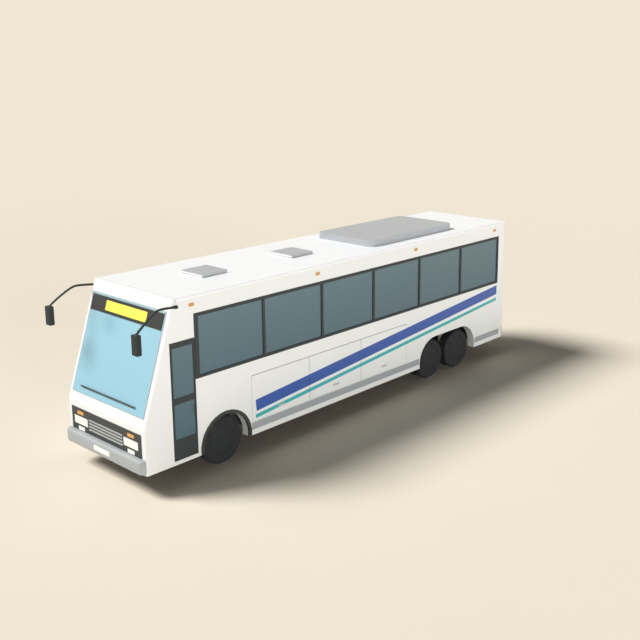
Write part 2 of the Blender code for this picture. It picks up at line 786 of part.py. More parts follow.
def roof_panel():
    front, rear = at(RAKE_DEPTH + PANEL + SEAM), at(BODY_LENGTH)
    radius = ROOF_EDGE_RADIUS
    outline = [(-SIDE, ROOF_UNDER), (SIDE, ROOF_UNDER)]
    outline += arc(SIDE - radius, ROOF_HEIGHT - radius, radius, 0, math.pi / 2, ARC_STEPS)
    outline += arc(radius - SIDE, ROOF_HEIGHT - radius, radius, math.pi / 2, math.pi, ARC_STEPS)
    roof = prism("roof_panel", [outline], "Y", front, rear, ROOF_WHITE)
    openings = []
    for station in HATCH_STATIONS:
        half_width, half_length = HATCH_WIDTH / 2 - HATCH_LIP, HATCH_LENGTH / 2 - HATCH_LIP
        openings.append(((-half_width, at(station) - half_length, ROOF_UNDER - OVERRUN),
                         (half_width, at(station) + half_length, ROOF_HEIGHT + OVERRUN)))
    cut(roof, boxes("roof_openings", openings))
    return roof


def front_panel():
    top = ROOF_HEIGHT
    outline = [
        (at(0), SKIRT_HEIGHT),
        (at(0), KINK_HEIGHT),
        (at(RAKE_DEPTH), top),
        (at(RAKE_DEPTH + PANEL), top),
        (at(PANEL), KINK_HEIGHT),
        (at(PANEL), SKIRT_HEIGHT),
    ]
    panel = prism("front_panel", [outline], "X", -SIDE, SIDE, WHITE)

    def outer_corner(one, other):
        same_side = abs(one.x - other.x) < SEAM
        on_face = all(abs(point.y - at(nose_station(point.z))) < SEAM for point in (one, other))
        return same_side and on_face

    round_edges(panel, outer_corner, CORNER_RADIUS)
    frame = rake_frame()
    half, low, high = WINDSCREEN_HALF_WIDTH, up_rake(WINDSCREEN_BOTTOM), up_rake(WINDSCREEN_TOP)
    floor = WINDSCREEN_PROUD - WINDSCREEN_THICKNESS - SEAM
    cut(panel, prism("screen_rebate", [rounded((-half - SEAM, low - SEAM), (half + SEAM, high + SEAM),
                                               WINDSCREEN_CORNER)], "Z", floor, PANEL, None, frame))
    edge = WINDSCREEN_FLANGE
    cut(panel, box("screen_opening", (edge - half, low + edge, -2 * PANEL),
                   (half - edge, high - edge, PANEL), None, frame))
    pocket_floor = at(MASK_THICKNESS - MASK_PROUD + SEAM)
    past = at(-OVERRUN)
    cut(panel, box("mask_pocket", (-MASK_HALF_WIDTH - SEAM, past, MASK_BOTTOM - SEAM),
                   (MASK_HALF_WIDTH + SEAM, pocket_floor, MASK_TOP + SEAM)))
    edge = HEADER_DEPTH
    tray = GRILLE_DEPTH + edge + SEAM
    lamp_holes = [
        ((side * (HEADLAMP_INNER - edge - SEAM), past, FOG_BOTTOM - edge - SEAM),
         (side * (HEADLAMP_OUTER + edge + SEAM), at(PANEL + OVERRUN), INDICATOR_TOP + edge + SEAM))
        for side in (-1, 1)
    ]
    grille = ((edge - HEADLAMP_INNER + 2 * SEAM, past, GRILLE_BOTTOM - edge - SEAM),
              (HEADLAMP_INNER - edge - 2 * SEAM, at(tray), GRILLE_TOP + edge + SEAM))
    cut(panel, boxes("lamp_openings", lamp_holes), box("grille_pocket", *grille))
    return panel


def windscreen():
    half, low, high = WINDSCREEN_HALF_WIDTH, up_rake(WINDSCREEN_BOTTOM), up_rake(WINDSCREEN_TOP)
    outline = rounded((-half, low), (half, high), WINDSCREEN_CORNER)
    floor = WINDSCREEN_PROUD - WINDSCREEN_THICKNESS
    return prism("windscreen", [outline], "Z", floor, WINDSCREEN_PROUD, SCREEN_GLASS, rake_frame())


def destination_sign():
    frame = rake_frame()
    low = WINDSCREEN_PROUD + SEAM
    middle = low + HEADER_DEPTH
    header = box("destination_sign", (-HEADER_HALF_WIDTH, up_rake(HEADER_BOTTOM), low),
                 (HEADER_HALF_WIDTH, up_rake(HEADER_TOP), middle), SIGN, frame)
    join(header, box("sign_face", (-SIGN_HALF_WIDTH, up_rake(SIGN_BOTTOM), low + SEAM),
                     (SIGN_HALF_WIDTH, up_rake(SIGN_TOP), middle + SIGN_PROUD), None, frame))
    return header


def wiper():
    """A long blade that lies across the foot of the screen: a rubber foot under a rounded spine."""
    low = WINDSCREEN_PROUD + SEAM
    high = low + WIPER_DEPTH
    middle = up_rake(WIPER_HEIGHT)
    foot, half = WIPER_WIDTH / 5, WIPER_WIDTH / 2
    outline = [
        (middle - foot, low),
        (middle + foot, low),
        (middle + foot, low + WIPER_DEPTH * 0.4),
        (middle + half, low + WIPER_DEPTH * 0.5),
        (middle + half, low + WIPER_DEPTH * 0.75),
        (middle + foot, high),
        (middle - foot, high),
        (middle - half, low + WIPER_DEPTH * 0.75),
        (middle - half, low + WIPER_DEPTH * 0.5),
        (middle - foot, low + WIPER_DEPTH * 0.4),
    ]
    return prism("wiper", [outline], "X", -WIPER_HALF_LENGTH, WIPER_HALF_LENGTH, DARK_TRIM, rake_frame())


def side_glass(side):
    word = "left" if side > 0 else "right"
    inner = SIDE - WINDOW_RECESS + SEAM
    outline = window_outline(side, SEAM)
    return prism(f"side_glass_{word}", [outline], "X", side * inner, side * (inner + GLASS), SIDE_GLASS)


def window_frame(side):
    word = "left" if side > 0 else "right"
    inner = SIDE - WINDOW_RECESS + GLASS + 2 * SEAM
    outlines = [window_outline(side, SEAM)]
    outlines += [rectangle(low, high) for low, high in window_holes(side)]
    return prism(f"window_frame_{word}", outlines, "X", side * inner, side * (SIDE + FRAME_PROUD), DARK_TRIM)


def rear_panel():
    front, rear = at(BODY_LENGTH - PANEL), at(BODY_LENGTH)
    panel = box("rear_panel", (-SIDE, front, SKIRT_HEIGHT), (SIDE, rear, ROOF_UNDER - SEAM), WHITE)

    def outer_corner(one, other):
        return abs(one.x - other.x) < SEAM and min(one.y, other.y) > rear - SEAM

    round_edges(panel, outer_corner, CORNER_RADIUS)
    half, low, high = REAR_WINDOW_HALF_WIDTH, REAR_WINDOW_BOTTOM, REAR_WINDOW_TOP
    glass_floor = rear + REAR_WINDOW_PROUD - GLASS - SEAM
    seat = rounded((-half - SEAM, low - SEAM), (half + SEAM, high + SEAM), REAR_WINDOW_CORNER)
    opening = rounded((WINDSCREEN_FLANGE - half, low + WINDSCREEN_FLANGE),
                      (half - WINDSCREEN_FLANGE, high - WINDSCREEN_FLANGE), REAR_WINDOW_CORNER)
    cut(panel, prism("rear_glass_rebate", [seat], "Y", glass_floor, rear + OVERRUN))
    cut(panel, prism("rear_opening", [opening], "Y", front - OVERRUN, rear + OVERRUN))
    half = ENGINE_DOOR_HALF_WIDTH
    recess = rear - FLAP_THICKNESS - FLAP_BACK_SPACE
    cut(panel, box("engine_door_recess", (-half, recess, ENGINE_DOOR_BOTTOM),
                   (half, rear + OVERRUN, ENGINE_DOOR_TOP + PIVOT_SEAM)))
    cut(panel, box("engine_bay_mouth", (BAY_LIP - half, front - OVERRUN, ENGINE_DOOR_BOTTOM + BAY_LIP),
                   (half - BAY_LIP, rear + OVERRUN, DECK_TOP - DECK - BAY_LIP)))
    lamps = [
        ((side * (REAR_LAMP_INNER - SEAM), rear - REAR_LAMP_SET - SEAM, REAR_LAMP_BOTTOM - SEAM),
         (side * (REAR_LAMP_OUTER + SEAM), rear + OVERRUN, REAR_LAMP_TOP + SEAM))
        for side in (-1, 1)
    ]
    cut(panel, boxes("rear_lamp_pockets", lamps))
    return panel


def rear_window():
    rear = at(BODY_LENGTH) + REAR_WINDOW_PROUD
    outline = rounded((-REAR_WINDOW_HALF_WIDTH, REAR_WINDOW_BOTTOM),
                      (REAR_WINDOW_HALF_WIDTH, REAR_WINDOW_TOP), REAR_WINDOW_CORNER)
    return prism("rear_window", [outline], "Y", rear - GLASS, rear, SIDE_GLASS)


# Front and rear trim

def bumper(name, low_station, high_station, face_sign):
    """A bar across the bus whose outer corners are rounded in plan and whose edges are soft."""
    radius = BUMPER_CORNER
    inner, outer = (high_station, low_station) if face_sign < 0 else (low_station, high_station)
    half, fall = BUMPER_HALF_WIDTH, face_sign
    near = at(outer) - fall * radius
    corner = arc(half - radius, 0, radius, 0, math.pi / 2, ARC_STEPS)
    right = [(x, near + fall * y) for x, y in corner]
    left = [(-x, y) for x, y in reversed(right)]
    outline = [(half, at(inner))] + right + left + [(-half, at(inner))]
    bar = prism(name, [outline], "Z", BUMPER_BOTTOM, BUMPER_TOP, GREY_PLASTIC)

    def rim_edge(one, other):
        level = abs(one.z - other.z) < SEAM
        return level and min(fall * (point.y - at(inner)) for point in (one, other)) > SEAM

    return round_edges(bar, rim_edge, BUMPER_EDGE, 2)


def lens_boxes(side, fit, near, far):
    """The indicator, headlamp and fog lamp of one side, as boxes."""
    table = (
        (INDICATOR_INNER, INDICATOR_OUTER, INDICATOR_BOTTOM, INDICATOR_TOP),
        (HEADLAMP_INNER, HEADLAMP_OUTER, HEADLAMP_BOTTOM, HEADLAMP_TOP),
        (FOG_INNER, FOG_OUTER, FOG_BOTTOM, FOG_TOP),
    )
    return [
        ((side * (inner - fit), near, bottom - fit), (side * (outer + fit), far, top + fit))
        for inner, outer, bottom, top in table
    ]


def front_mask():
    """The dark panel with its lamp windows and a grille of slanted bars over a shallow tray."""
    front, back = at(-MASK_PROUD), at(MASK_THICKNESS - MASK_PROUD)
    mask = box("front_mask", (-MASK_HALF_WIDTH, front, MASK_BOTTOM), (MASK_HALF_WIDTH, back, MASK_TOP),
               DARK_TRIM)
    edge = HEADER_DEPTH
    half = HEADLAMP_INNER - edge - 3 * SEAM
    join(mask, box("grille_tray", (-half, front + SEAM, GRILLE_BOTTOM - edge),
                   (half, at(GRILLE_DEPTH + edge), GRILLE_TOP + edge)))
    cut(mask, box("grille_mouth", (-GRILLE_HALF_WIDTH, at(-OVERRUN), GRILLE_BOTTOM),
                  (GRILLE_HALF_WIDTH, at(GRILLE_DEPTH), GRILLE_TOP)))
    for side in (-1, 1):
        holes = lens_boxes(side, LENS_FIT, at(-OVERRUN), at(PANEL))
        cut(mask, boxes(f"lens_windows_{side}", holes))
    pitch = (GRILLE_TOP - GRILLE_BOTTOM) / GRILLE_BARS
    for i in range(GRILLE_BARS):
        middle = GRILLE_BOTTOM + pitch * (i + 0.5)
        rise = GRILLE_BAR / 2
        lean = GRILLE_BAR / 4
        outline = [
            (at(-MASK_PROUD - lean), middle - rise),
            (at(GRILLE_DEPTH / 2), middle - rise + lean),
            (at(GRILLE_DEPTH / 2), middle + rise),
            (at(-MASK_PROUD - lean), middle + rise - lean),
        ]
        reach = GRILLE_HALF_WIDTH + edge / 2
        join(mask, prism(f"grille_bar_{i}", [outline], "X", -reach, reach))
    return mask


def lamp_cluster(side):
    """Three lenses that stand through the mask, on one housing behind it."""
    word = "left" if side > 0 else "right"
    back = at(MASK_THICKNESS - MASK_PROUD + SEAM)
    edge = HEADER_DEPTH
    housing = box(f"lamp_cluster_{word}", (side * (HEADLAMP_INNER - edge), back, FOG_BOTTOM - edge),
                  (side * (HEADLAMP_OUTER + edge), at(PANEL), INDICATOR_TOP + edge), LAMP)
    lenses = boxes(f"{word}_lenses", lens_boxes(side, 0, at(-MASK_PROUD - LENS_PROUD), at(PANEL / 2)))
    join(housing, lenses)
    return housing


def rear_lamp(side):
    word = "left" if side > 0 else "right"
    rear = at(BODY_LENGTH)
    lamp = box(f"rear_lamp_{word}", (side * REAR_LAMP_INNER, rear - REAR_LAMP_SET, REAR_LAMP_BOTTOM),
               (side * REAR_LAMP_OUTER, rear + REAR_WINDOW_PROUD, REAR_LAMP_TOP), TAIL_LAMP)
    height = (REAR_LAMP_TOP - REAR_LAMP_BOTTOM) / 3
    lenses = []
    for i in range(3):
        low = REAR_LAMP_BOTTOM + i * height
        lenses.append(((side * (REAR_LAMP_INNER + LENS_PROUD), rear - LENS_PROUD, low + LENS_PROUD),
                       (side * (REAR_LAMP_OUTER - LENS_PROUD), rear + LENS_PROUD + REAR_WINDOW_PROUD,
                        low + height - LENS_PROUD)))
    join(lamp, boxes(f"{word}_rear_lenses", lenses))
    return lamp


# Doors, flaps and hatches

def door_leaf(wall):
    front, rear = at(DOOR_FRONT + PIVOT_SEAM), at(DOOR_REAR - PANEL_SEAM)
    bottom, top = DOOR_BOTTOM + PANEL_SEAM, DOOR_TOP - PANEL_SEAM
    outer = SIDE + DOOR_PROUD
    inner = outer - DOOR_THICKNESS
    stile = DOOR_STILE
    holes = [
        rectangle((front + stile, DOOR_RAIL_TOP), (rear - stile, top - DOOR_HEAD)),
        rectangle((front + stile, KICK_TOP), (rear - stile, DOOR_RAIL_BOTTOM)),
    ]
    leaf = prism("door_leaf", [rectangle((front, bottom), (rear, top))] + holes, "X", inner, outer, DARK_TRIM)
    glass_outer = outer - DOOR_GLASS_SET
    low = (glass_outer - GLASS, front + stile - GLASS_BITE, KICK_TOP - GLASS_BITE)
    high = (glass_outer, rear - stile + GLASS_BITE, top - DOOR_HEAD + GLASS_BITE)
    play = Vector((SEAM, SEAM, SEAM))
    cut(leaf, box("door_groove", Vector(low) - play, Vector(high) + play))
    box("door_glass", low, high, SIDE_GLASS)
    axis_x, axis_y = outer - PIVOT_INSET - DOOR_PROUD, front + PIVOT_INSET
    pivots(leaf, wall, ((axis_x, axis_y, bottom), (axis_x, axis_y, top)), PANEL_SEAM)
    return leaf


def luggage_flap(side, number, edges, wall):
    word = "left" if side > 0 else "right"
    front, rear = edges
    front, rear = at(front + BAY_POST / 2 + PANEL_SEAM), at(rear - BAY_POST / 2 - PANEL_SEAM)
    bottom = FLAP_BOTTOM + PANEL_SEAM
    flap = box(f"luggage_door_{word}_{number}", (side * (SIDE - FLAP_THICKNESS), front, bottom),
               (side * SIDE, rear, FLAP_TOP), WHITE)
    middle = (front + rear) / 2
    join(flap, box(f"{flap.name}_handle",
                   (side * (SIDE - FLAP_THICKNESS / 2), middle - HANDLE_LENGTH / 2,
                    HANDLE_HEIGHT - HANDLE_WIDTH / 2),
                   (side * (SIDE + HANDLE_PROUD), middle + HANDLE_LENGTH / 2,
                    HANDLE_HEIGHT + HANDLE_WIDTH / 2)))
    axis = (side * (SIDE - PIVOT_INSET), FLAP_TOP - PIVOT_INSET)
    pivots(flap, wall, ((axis[0], front, axis[1]), (axis[0], rear, axis[1])), PANEL_SEAM)
    return flap


def engine_door(panel):
    half = ENGINE_DOOR_HALF_WIDTH - PANEL_SEAM
    rear = at(BODY_LENGTH)
    bottom, top = ENGINE_DOOR_BOTTOM + PANEL_SEAM, ENGINE_DOOR_TOP
    door = box("engine_door", (-half, rear - FLAP_THICKNESS, bottom), (half, rear, top), WHITE)
    pitch = (top - bottom) * 0.62 / LOUVRE_COUNT
    for i in range(LOUVRE_COUNT):
        foot = bottom + (top - bottom) * 0.2 + i * pitch
        outline = [
            (rear - LOUVRE_PROUD / 2, foot),
            (rear + LOUVRE_PROUD, foot),
            (rear + LOUVRE_PROUD, foot + pitch * 0.12),
            (rear - LOUVRE_PROUD / 2, foot + pitch * 0.7),
        ]
        join(door, prism(f"louvre_{i}", [outline], "X", -half * 0.8, half * 0.8))
    axis = (rear - PIVOT_INSET, top - PIVOT_INSET)
    pivots(door, panel, ((-half, *axis), (half, *axis)), PANEL_SEAM)
    return door


def roof_hatch(name, station, roof):
    """A lid over its opening, on pins at its rear edge between two lugs of the roof."""
    low = ROOF_HEIGHT + HATCH_LIFT
    half_width, half_length = HATCH_WIDTH / 2, HATCH_LENGTH / 2
    front, rear = at(station) - half_length, at(station) + half_length
    lid = box(name, (-half_width, front, low), (half_width, rear, low + HATCH_HEIGHT), HATCH_GREY)

    def lid_edge(one, other):
        return min(one.z, other.z) > low + HATCH_HEIGHT - SEAM

    round_edges(lid, lid_edge, HATCH_HEIGHT / 3, 2)
    axis_y, axis_z = rear - PIVOT_INSET, low + HATCH_HEIGHT * HATCH_PIN_SHARE
    lugs = [
        ((side * (half_width + PANEL_SEAM), axis_y - 2 * PIVOT_INSET, ROOF_HEIGHT - OVERRUN),
         (side * (half_width + PANEL_SEAM + 2 * PIVOT_INSET), axis_y + 2 * PIVOT_INSET,
          axis_z + PIVOT_INSET))
        for side in (-1, 1)
    ]
    join(roof, boxes(f"{name}_lugs", lugs))
    pivots(lid, roof, ((-half_width, axis_y, axis_z), (half_width, axis_y, axis_z)), PANEL_SEAM)
    return lid


def ac_unit():
    base = ROOF_HEIGHT + SEAM
    half = COOLER_WIDTH / 2
    front, rear = at(COOLER_FRONT), at(COOLER_FRONT + COOLER_LENGTH)
    unit = prism("ac_unit", [rounded((-half, front), (half, rear), COOLER_CORNER)], "Z",
                 base, base + COOLER_HEIGHT, GREY_PLASTIC)

    def top_edge(one, other):
        return min(one.z, other.z) > base + COOLER_HEIGHT - SEAM

    return round_edges(unit, top_edge, COOLER_EDGE, 2)


def mirror(side):
    word = "left" if side > 0 else "right"
    drop = MIRROR_ROOT_HEIGHT - MIRROR_HEAD_TOP
    ahead = MIRROR_ROOT_STATION + MIRROR_AHEAD
    points = [
        (side * (SIDE + MIRROR_OUT * out), at(MIRROR_ROOT_STATION - ahead * forward),
         MIRROR_ROOT_HEIGHT - drop * down)
        for out, forward, down in MIRROR_ARM_SHARES
    ]
    arm = tube(f"mirror_{word}", points, MIRROR_ARM_RADIUS, DARK_TRIM)
    foot = MIRROR_ARM_RADIUS * 1.2
    root = at(MIRROR_ROOT_STATION)
    join(arm, box(f"{word}_mirror_foot", (side * (SIDE + SEAM), root - foot, MIRROR_ROOT_HEIGHT - foot),
                  (side * (SIDE + MIRROR_ARM_RADIUS * 2), root + foot, MIRROR_ROOT_HEIGHT + foot)))
    middle_x, middle_y = side * (SIDE + MIRROR_OUT), at(-MIRROR_AHEAD)
    head = box(f"{word}_mirror_head",
               (middle_x - MIRROR_HEAD_WIDTH / 2, middle_y - MIRROR_HEAD_DEPTH / 2, MIRROR_HEAD_BOTTOM),
               (middle_x + MIRROR_HEAD_WIDTH / 2, middle_y + MIRROR_HEAD_DEPTH / 2, MIRROR_HEAD_TOP))
    soften(head, MIRROR_HEAD_DEPTH / 12)
    join(arm, head)
    return arm


# Floor, chassis and engine

def floor_structure():
    deck_low = DECK_TOP - DECK
    floor = box("floor_structure", (-INSIDE, at(WELL_FRONT), deck_low), (INSIDE, at(DECK_END), DECK_TOP),
                FLOORING)
    well = WELL_FRONT - SEAM
    platform_low = PLATFORM_TOP - DECK
    front = at(PANEL + SEAM)
    riser = at(well - PANEL)
    well_inner_edge = INSIDE - STEP_TREAD * 2 + STEP_SHEET
    shelf_front = at(DOOR_FRONT - STEP_SHEET)
    steps = [
        ((-INSIDE, front, platform_low), (well_inner_edge, at(WELL_FRONT) + SEAM, PLATFORM_TOP)),
        ((well_inner_edge - SEAM, front, platform_low), (INSIDE, shelf_front, PLATFORM_TOP)),
        ((-INSIDE, riser, platform_low + SEAM), (INSIDE, at(WELL_FRONT) + PANEL, DECK_TOP - SEAM)),
    ]
    lowest = DOOR_BOTTOM - STEP_SHEET
    for side in (-1, 1):
        steps.append(((side * WELL_INNER, riser + SEAM, lowest),
                      (side * INSIDE, at(well), deck_low + OVERRUN)))
    steps.append(((well_inner_edge, shelf_front - STEP_SHEET, lowest),
                  (INSIDE, shelf_front, PLATFORM_TOP - SEAM)))
    stair = stair_outline(well_inner_edge, lowest)
    hold_low = RAIL_LOW + RAIL_HEIGHT + SEAM
    hold = [
        ((-INSIDE, at(WELL_REAR), hold_low), (INSIDE, at(HOLD_REAR), hold_low + HOLD_SHEET)),
        ((-INSIDE, at(WELL_REAR), hold_low), (INSIDE, at(WELL_REAR + HOLD_SHEET), deck_low + OVERRUN)),
        ((-INSIDE, at(HOLD_REAR - HOLD_SHEET), hold_low), (INSIDE, at(HOLD_REAR), deck_low + OVERRUN)),
    ]
    for side in (-1, 1):
        hold.append(((side * WELL_INNER, at(ENGINE_FRONT - HOLD_SHEET), hold_low),
                     (side * INSIDE, at(ENGINE_FRONT), deck_low + OVERRUN)))
    for number, corners in enumerate(steps + hold):
        join(floor, box(f"floor_sheet_{number}", *corners))
    join(floor, prism("entry_stair", [stair], "Y", shelf_front - STEP_SHEET / 2, at(well) - STEP_SHEET / 2))
    return floor


def stair_outline(inner, lowest):
    """Two treads that step down from the platform to the doorway, as one folded sheet."""
    sheet = STEP_SHEET
    first, last = DOOR_BOTTOM + SEAM, INSIDE - SEAM
    middle = (first + PLATFORM_TOP) / 2
    edge = inner + STEP_TREAD
    return [
        (inner - sheet, PLATFORM_TOP - sheet),
        (inner, PLATFORM_TOP - sheet),
        (inner, middle),
        (edge, middle),
        (edge, first),
        (last, first),
        (last, lowest + SEAM),
        (edge - sheet, lowest + SEAM),
        (edge - sheet, middle - sheet),
        (inner - sheet, middle - sheet),
    ]


def rail_points():
    """The lower edge of a side rail: low under the hold and engine, cranked up over the axles."""
    rise = RAIL_CRANK
    over_front = FRONT_AXLE - WHEEL_RADIUS * 0.85, FRONT_AXLE + WHEEL_RADIUS * 0.72
    over_rear = DRIVE_AXLE - WHEEL_RADIUS * 0.8, TAG_AXLE + WHEEL_RADIUS * 0.74
    return [
        (PANEL * 3, RAIL_FRONT),
        (over_front[0] - rise, RAIL_FRONT),
        (over_front[0], RAIL_HIGH),
        (over_front[1], RAIL_HIGH),
        (WELL_REAR - OVERRUN, RAIL_LOW),
        (HOLD_REAR + OVERRUN, RAIL_LOW),
        (over_rear[0], RAIL_HIGH),
        (over_rear[1], RAIL_HIGH),
        (over_rear[1] + rise, RAIL_REAR),
        (BODY_LENGTH - 3 * PANEL, RAIL_REAR),
    ]


def chassis_frame():
    low = [(at(station), height) for station, height in rail_points()]
    high = [(y, z + RAIL_HEIGHT) for y, z in reversed(low)]
    frame = prism("chassis_frame", [low + high], "X", RAIL_INNER, RAIL_OUTER, STEEL)
    join(frame, prism("right_rail", [low + high], "X", -RAIL_OUTER, -RAIL_INNER))
    reach = RAIL_INNER + RAIL_WIDTH / 4
    members = (
        (FRONT_MEMBER, RAIL_FRONT),
        (STEP_MEMBER, RAIL_FRONT),
        (WELL_REAR + MEMBER_INSET, RAIL_LOW),
        ((WELL_REAR + HOLD_REAR) / 2, RAIL_LOW),
        (HOLD_REAR - MEMBER_INSET, RAIL_LOW),
        ((DRIVE_AXLE + TAG_AXLE) / 2, RAIL_HIGH),
        (BODY_LENGTH - 5 * PANEL, RAIL_REAR),
    )
    bars = [
        ((-reach, at(station - RAIL_WIDTH / 2), height + RAIL_HEIGHT / 5),
         (reach, at(station + RAIL_WIDTH / 2), height + RAIL_HEIGHT * 4 / 5))
        for station, height in members
    ]
    join(frame, boxes("cross_members", bars))
    return frame


def engine_block():
    rail_top = RAIL_REAR + RAIL_HEIGHT + SEAM
    front = at(ENGINE_FRONT + PANEL)
    rear = front + ENGINE_LENGTH
    half = RAIL_INNER - OVERRUN
    block = box("engine_block", (-half, front, rail_top - RAIL_HEIGHT / 2), (half, rear, ENGINE_TOP),
                ENGINE_IRON)
    foot = RAIL_WIDTH
    lugs = []
    for y in (front + foot, rear - 2 * foot):
        lugs.append(((-RAIL_OUTER, y, rail_top), (RAIL_OUTER, y + foot, rail_top + foot / 2)))
    join(block, boxes("engine_feet", lugs))
    return block


# Axles, knuckles and wheels

def bellows(name, side, station, bottom):
    middle = side * (RAIL_INNER + RAIL_WIDTH / 2)
    return rod(name, (middle, at(station), bottom), (middle, at(station), RAIL_HIGH - SEAM), BELLOWS_RADIUS)


def front_axle():
    """A dropped beam with an eye at each end for the kingpin, and the bellows that carry the frame."""
    eye = KINGPIN_HALF_TRACK
    mid = WHEEL_RADIUS
    thick = EYE_HALF_HEIGHT
    end = eye - EYE_RADIUS * 0.6
    upper = [(-end, mid + thick * 0.9), (-RAIL_OUTER - thick, mid + thick * 0.6),
             (RAIL_OUTER + thick, mid + thick * 0.6), (end, mid + thick * 0.9)]
    lower = [(end, mid - thick * 0.9), (end - 2 * thick, mid - thick), (RAIL_OUTER, mid - 1.4 * thick),
             (-RAIL_OUTER, mid - 1.4 * thick), (2 * thick - end, mid - thick), (-end, mid - thick * 0.9)]
    half = EYE_RADIUS * 0.7
    outline = lower + upper
    axle = prism("front_axle", [outline], "Y", at(FRONT_AXLE) - half, at(FRONT_AXLE) + half, CASTING)
    for side in (-1, 1):
        x = side * eye
        low, high = mid - thick - SEAM, mid + thick + SEAM
        join(axle, rod(f"axle_eye_{side}", (x, at(FRONT_AXLE), low), (x, at(FRONT_AXLE), high), EYE_RADIUS))
        join(axle, bellows(f"front_bellows_{side}", side, FRONT_AXLE, mid))
    for side in (-1, 1):
        x = side * eye
        reach = 2 * thick
        cut(axle, rod(f"axle_bore_{side}", (x, at(FRONT_AXLE), mid - reach), (x, at(FRONT_AXLE), mid + reach),
                      KINGPIN_RADIUS + BEARING_CLEARANCE))
    return axle


def knuckle(side):
    """A forked knuckle round the axle's eye, with its kingpin and the wheel's spindle."""
    word = "left" if side > 0 else "right"
    x, y, z = side * KINGPIN_HALF_TRACK, at(FRONT_AXLE), WHEEL_RADIUS
    gap = EYE_HALF_HEIGHT + YOKE_CLEARANCE
    top = gap + YOKE_EAR
    plate_inner = EYE_RADIUS + YOKE_CLEARANCE
    plate_outer = plate_inner + YOKE_EAR * 0.75
    half = EYE_RADIUS * 1.1
    plate = box(f"knuckle_{word}", (x + side * plate_inner, y - half, z - top),
                (x + side * plate_outer, y + half, z + top), CASTING)
    for number, (low, high) in enumerate(((-top, -gap), (gap, top))):
        join(plate, box(f"{word}_ear_{number}", (x - side * half * 0.6, y - half * 0.95, z + low),
                        (x + side * (plate_outer - SEAM), y + half * 0.95, z + high)))
    join(plate, rod(f"{word}_kingpin", (x, y, z - top - SEAM), (x, y, z + top + SEAM), KINGPIN_RADIUS))
    tip = side * (TYRE_OUTER - 3 * RIM_WALL)
    join(plate, rod(f"{word}_spindle", (x + side * (plate_inner + SEAM), y, z), (tip, y, z), SPINDLE_RADIUS))
    return plate


def beam_axle(name, station, with_drive):
    y, z = at(station), WHEEL_RADIUS
    tube_end = WELL_INNER + RAIL_WIDTH
    if with_drive:
        tube_end = WHEEL_CENTRE - TWIN_SPACING - TYRE_WIDTH / 2 - OVERRUN
    axle = rod(name, (-tube_end, y, z), (tube_end, y, z), AXLE_TUBE_RADIUS, CASTING, 20)
    tip = TYRE_OUTER - 3 * RIM_WALL
    join(axle, rod(f"{name}_spindles", (-tip, y, z), (tip, y, z), SPINDLE_RADIUS))
    if with_drive:
        bulge = AXLE_TUBE_RADIUS * 2.4
        reach = bulge * 0.75
        join(axle, rod(f"{name}_case", (0, y - reach, z), (0, y + reach, z), bulge, None, 20, bulge * 0.7))
    for side in (-1, 1):
        join(axle, bellows(f"{name}_bellows_{side}", side, station, z))
    return axle


def tyre_profile():
    """Half a tyre's outline mirrored about its middle: tread, round shoulder, bulged wall and bead."""
    half = TYRE_WIDTH / 2
    shoulder = TYRE_SHOULDER
    crown = arc(WHEEL_RADIUS - shoulder, half - shoulder, shoulder, 0, math.pi / 2, 2)
    outer = crown + [(RIM_RADIUS + shoulder, half), (RIM_RADIUS, half - shoulder * 0.6)]
    return outer[::-1] + [(radius, -outwards) for radius, outwards in outer]


def tyre(name, side, station, middle):
    return turned(name, tyre_profile(), (side * middle, at(station), WHEEL_RADIUS), side, WHEEL_STEPS, TYRE)


def rim_profile(depth):
    """A wheel seen in half section: a barrel, a flush outer disc and a hub sleeve inside it.

    Distances run outwards from the tyre's outer face, so depth is the barrel's whole length."""
    seat = RIM_RADIUS - SEAM
    wall = RIM_WALL
    bore = SPINDLE_RADIUS + BEARING_CLEARANCE
    face = -wall
    return [
        (0, face + wall * 0.6),
        (HUB_RADIUS, face + wall * 0.6),
        (HUB_RADIUS * 1.15, face),
        (seat - 2 * wall, face),
        (seat, face - wall * 0.8),
        (seat, -depth),
        (seat - wall, -depth),
        (seat - wall, face - 2 * wall),
        (HUB_RADIUS, face - 2 * wall),
        (HUB_RADIUS, -depth * 0.5),
        (bore, -depth * 0.5),
        (bore, face - 1.6 * wall),
        (0, face - 1.6 * wall),
    ]


def rim(name, side, station, depth):
    """The profile meets the axle line twice, so it is left open there and its ends merge."""
    centre = (side * TYRE_OUTER, at(station), WHEEL_RADIUS)
    return turned(name, rim_profile(depth), centre, side, WHEEL_STEPS, RIM)


# Seats and driver's place

def seat_outline(front, floor, length, height):
    return [(front + length * along, floor + height * up) for along, up in SEAT_SHARES]


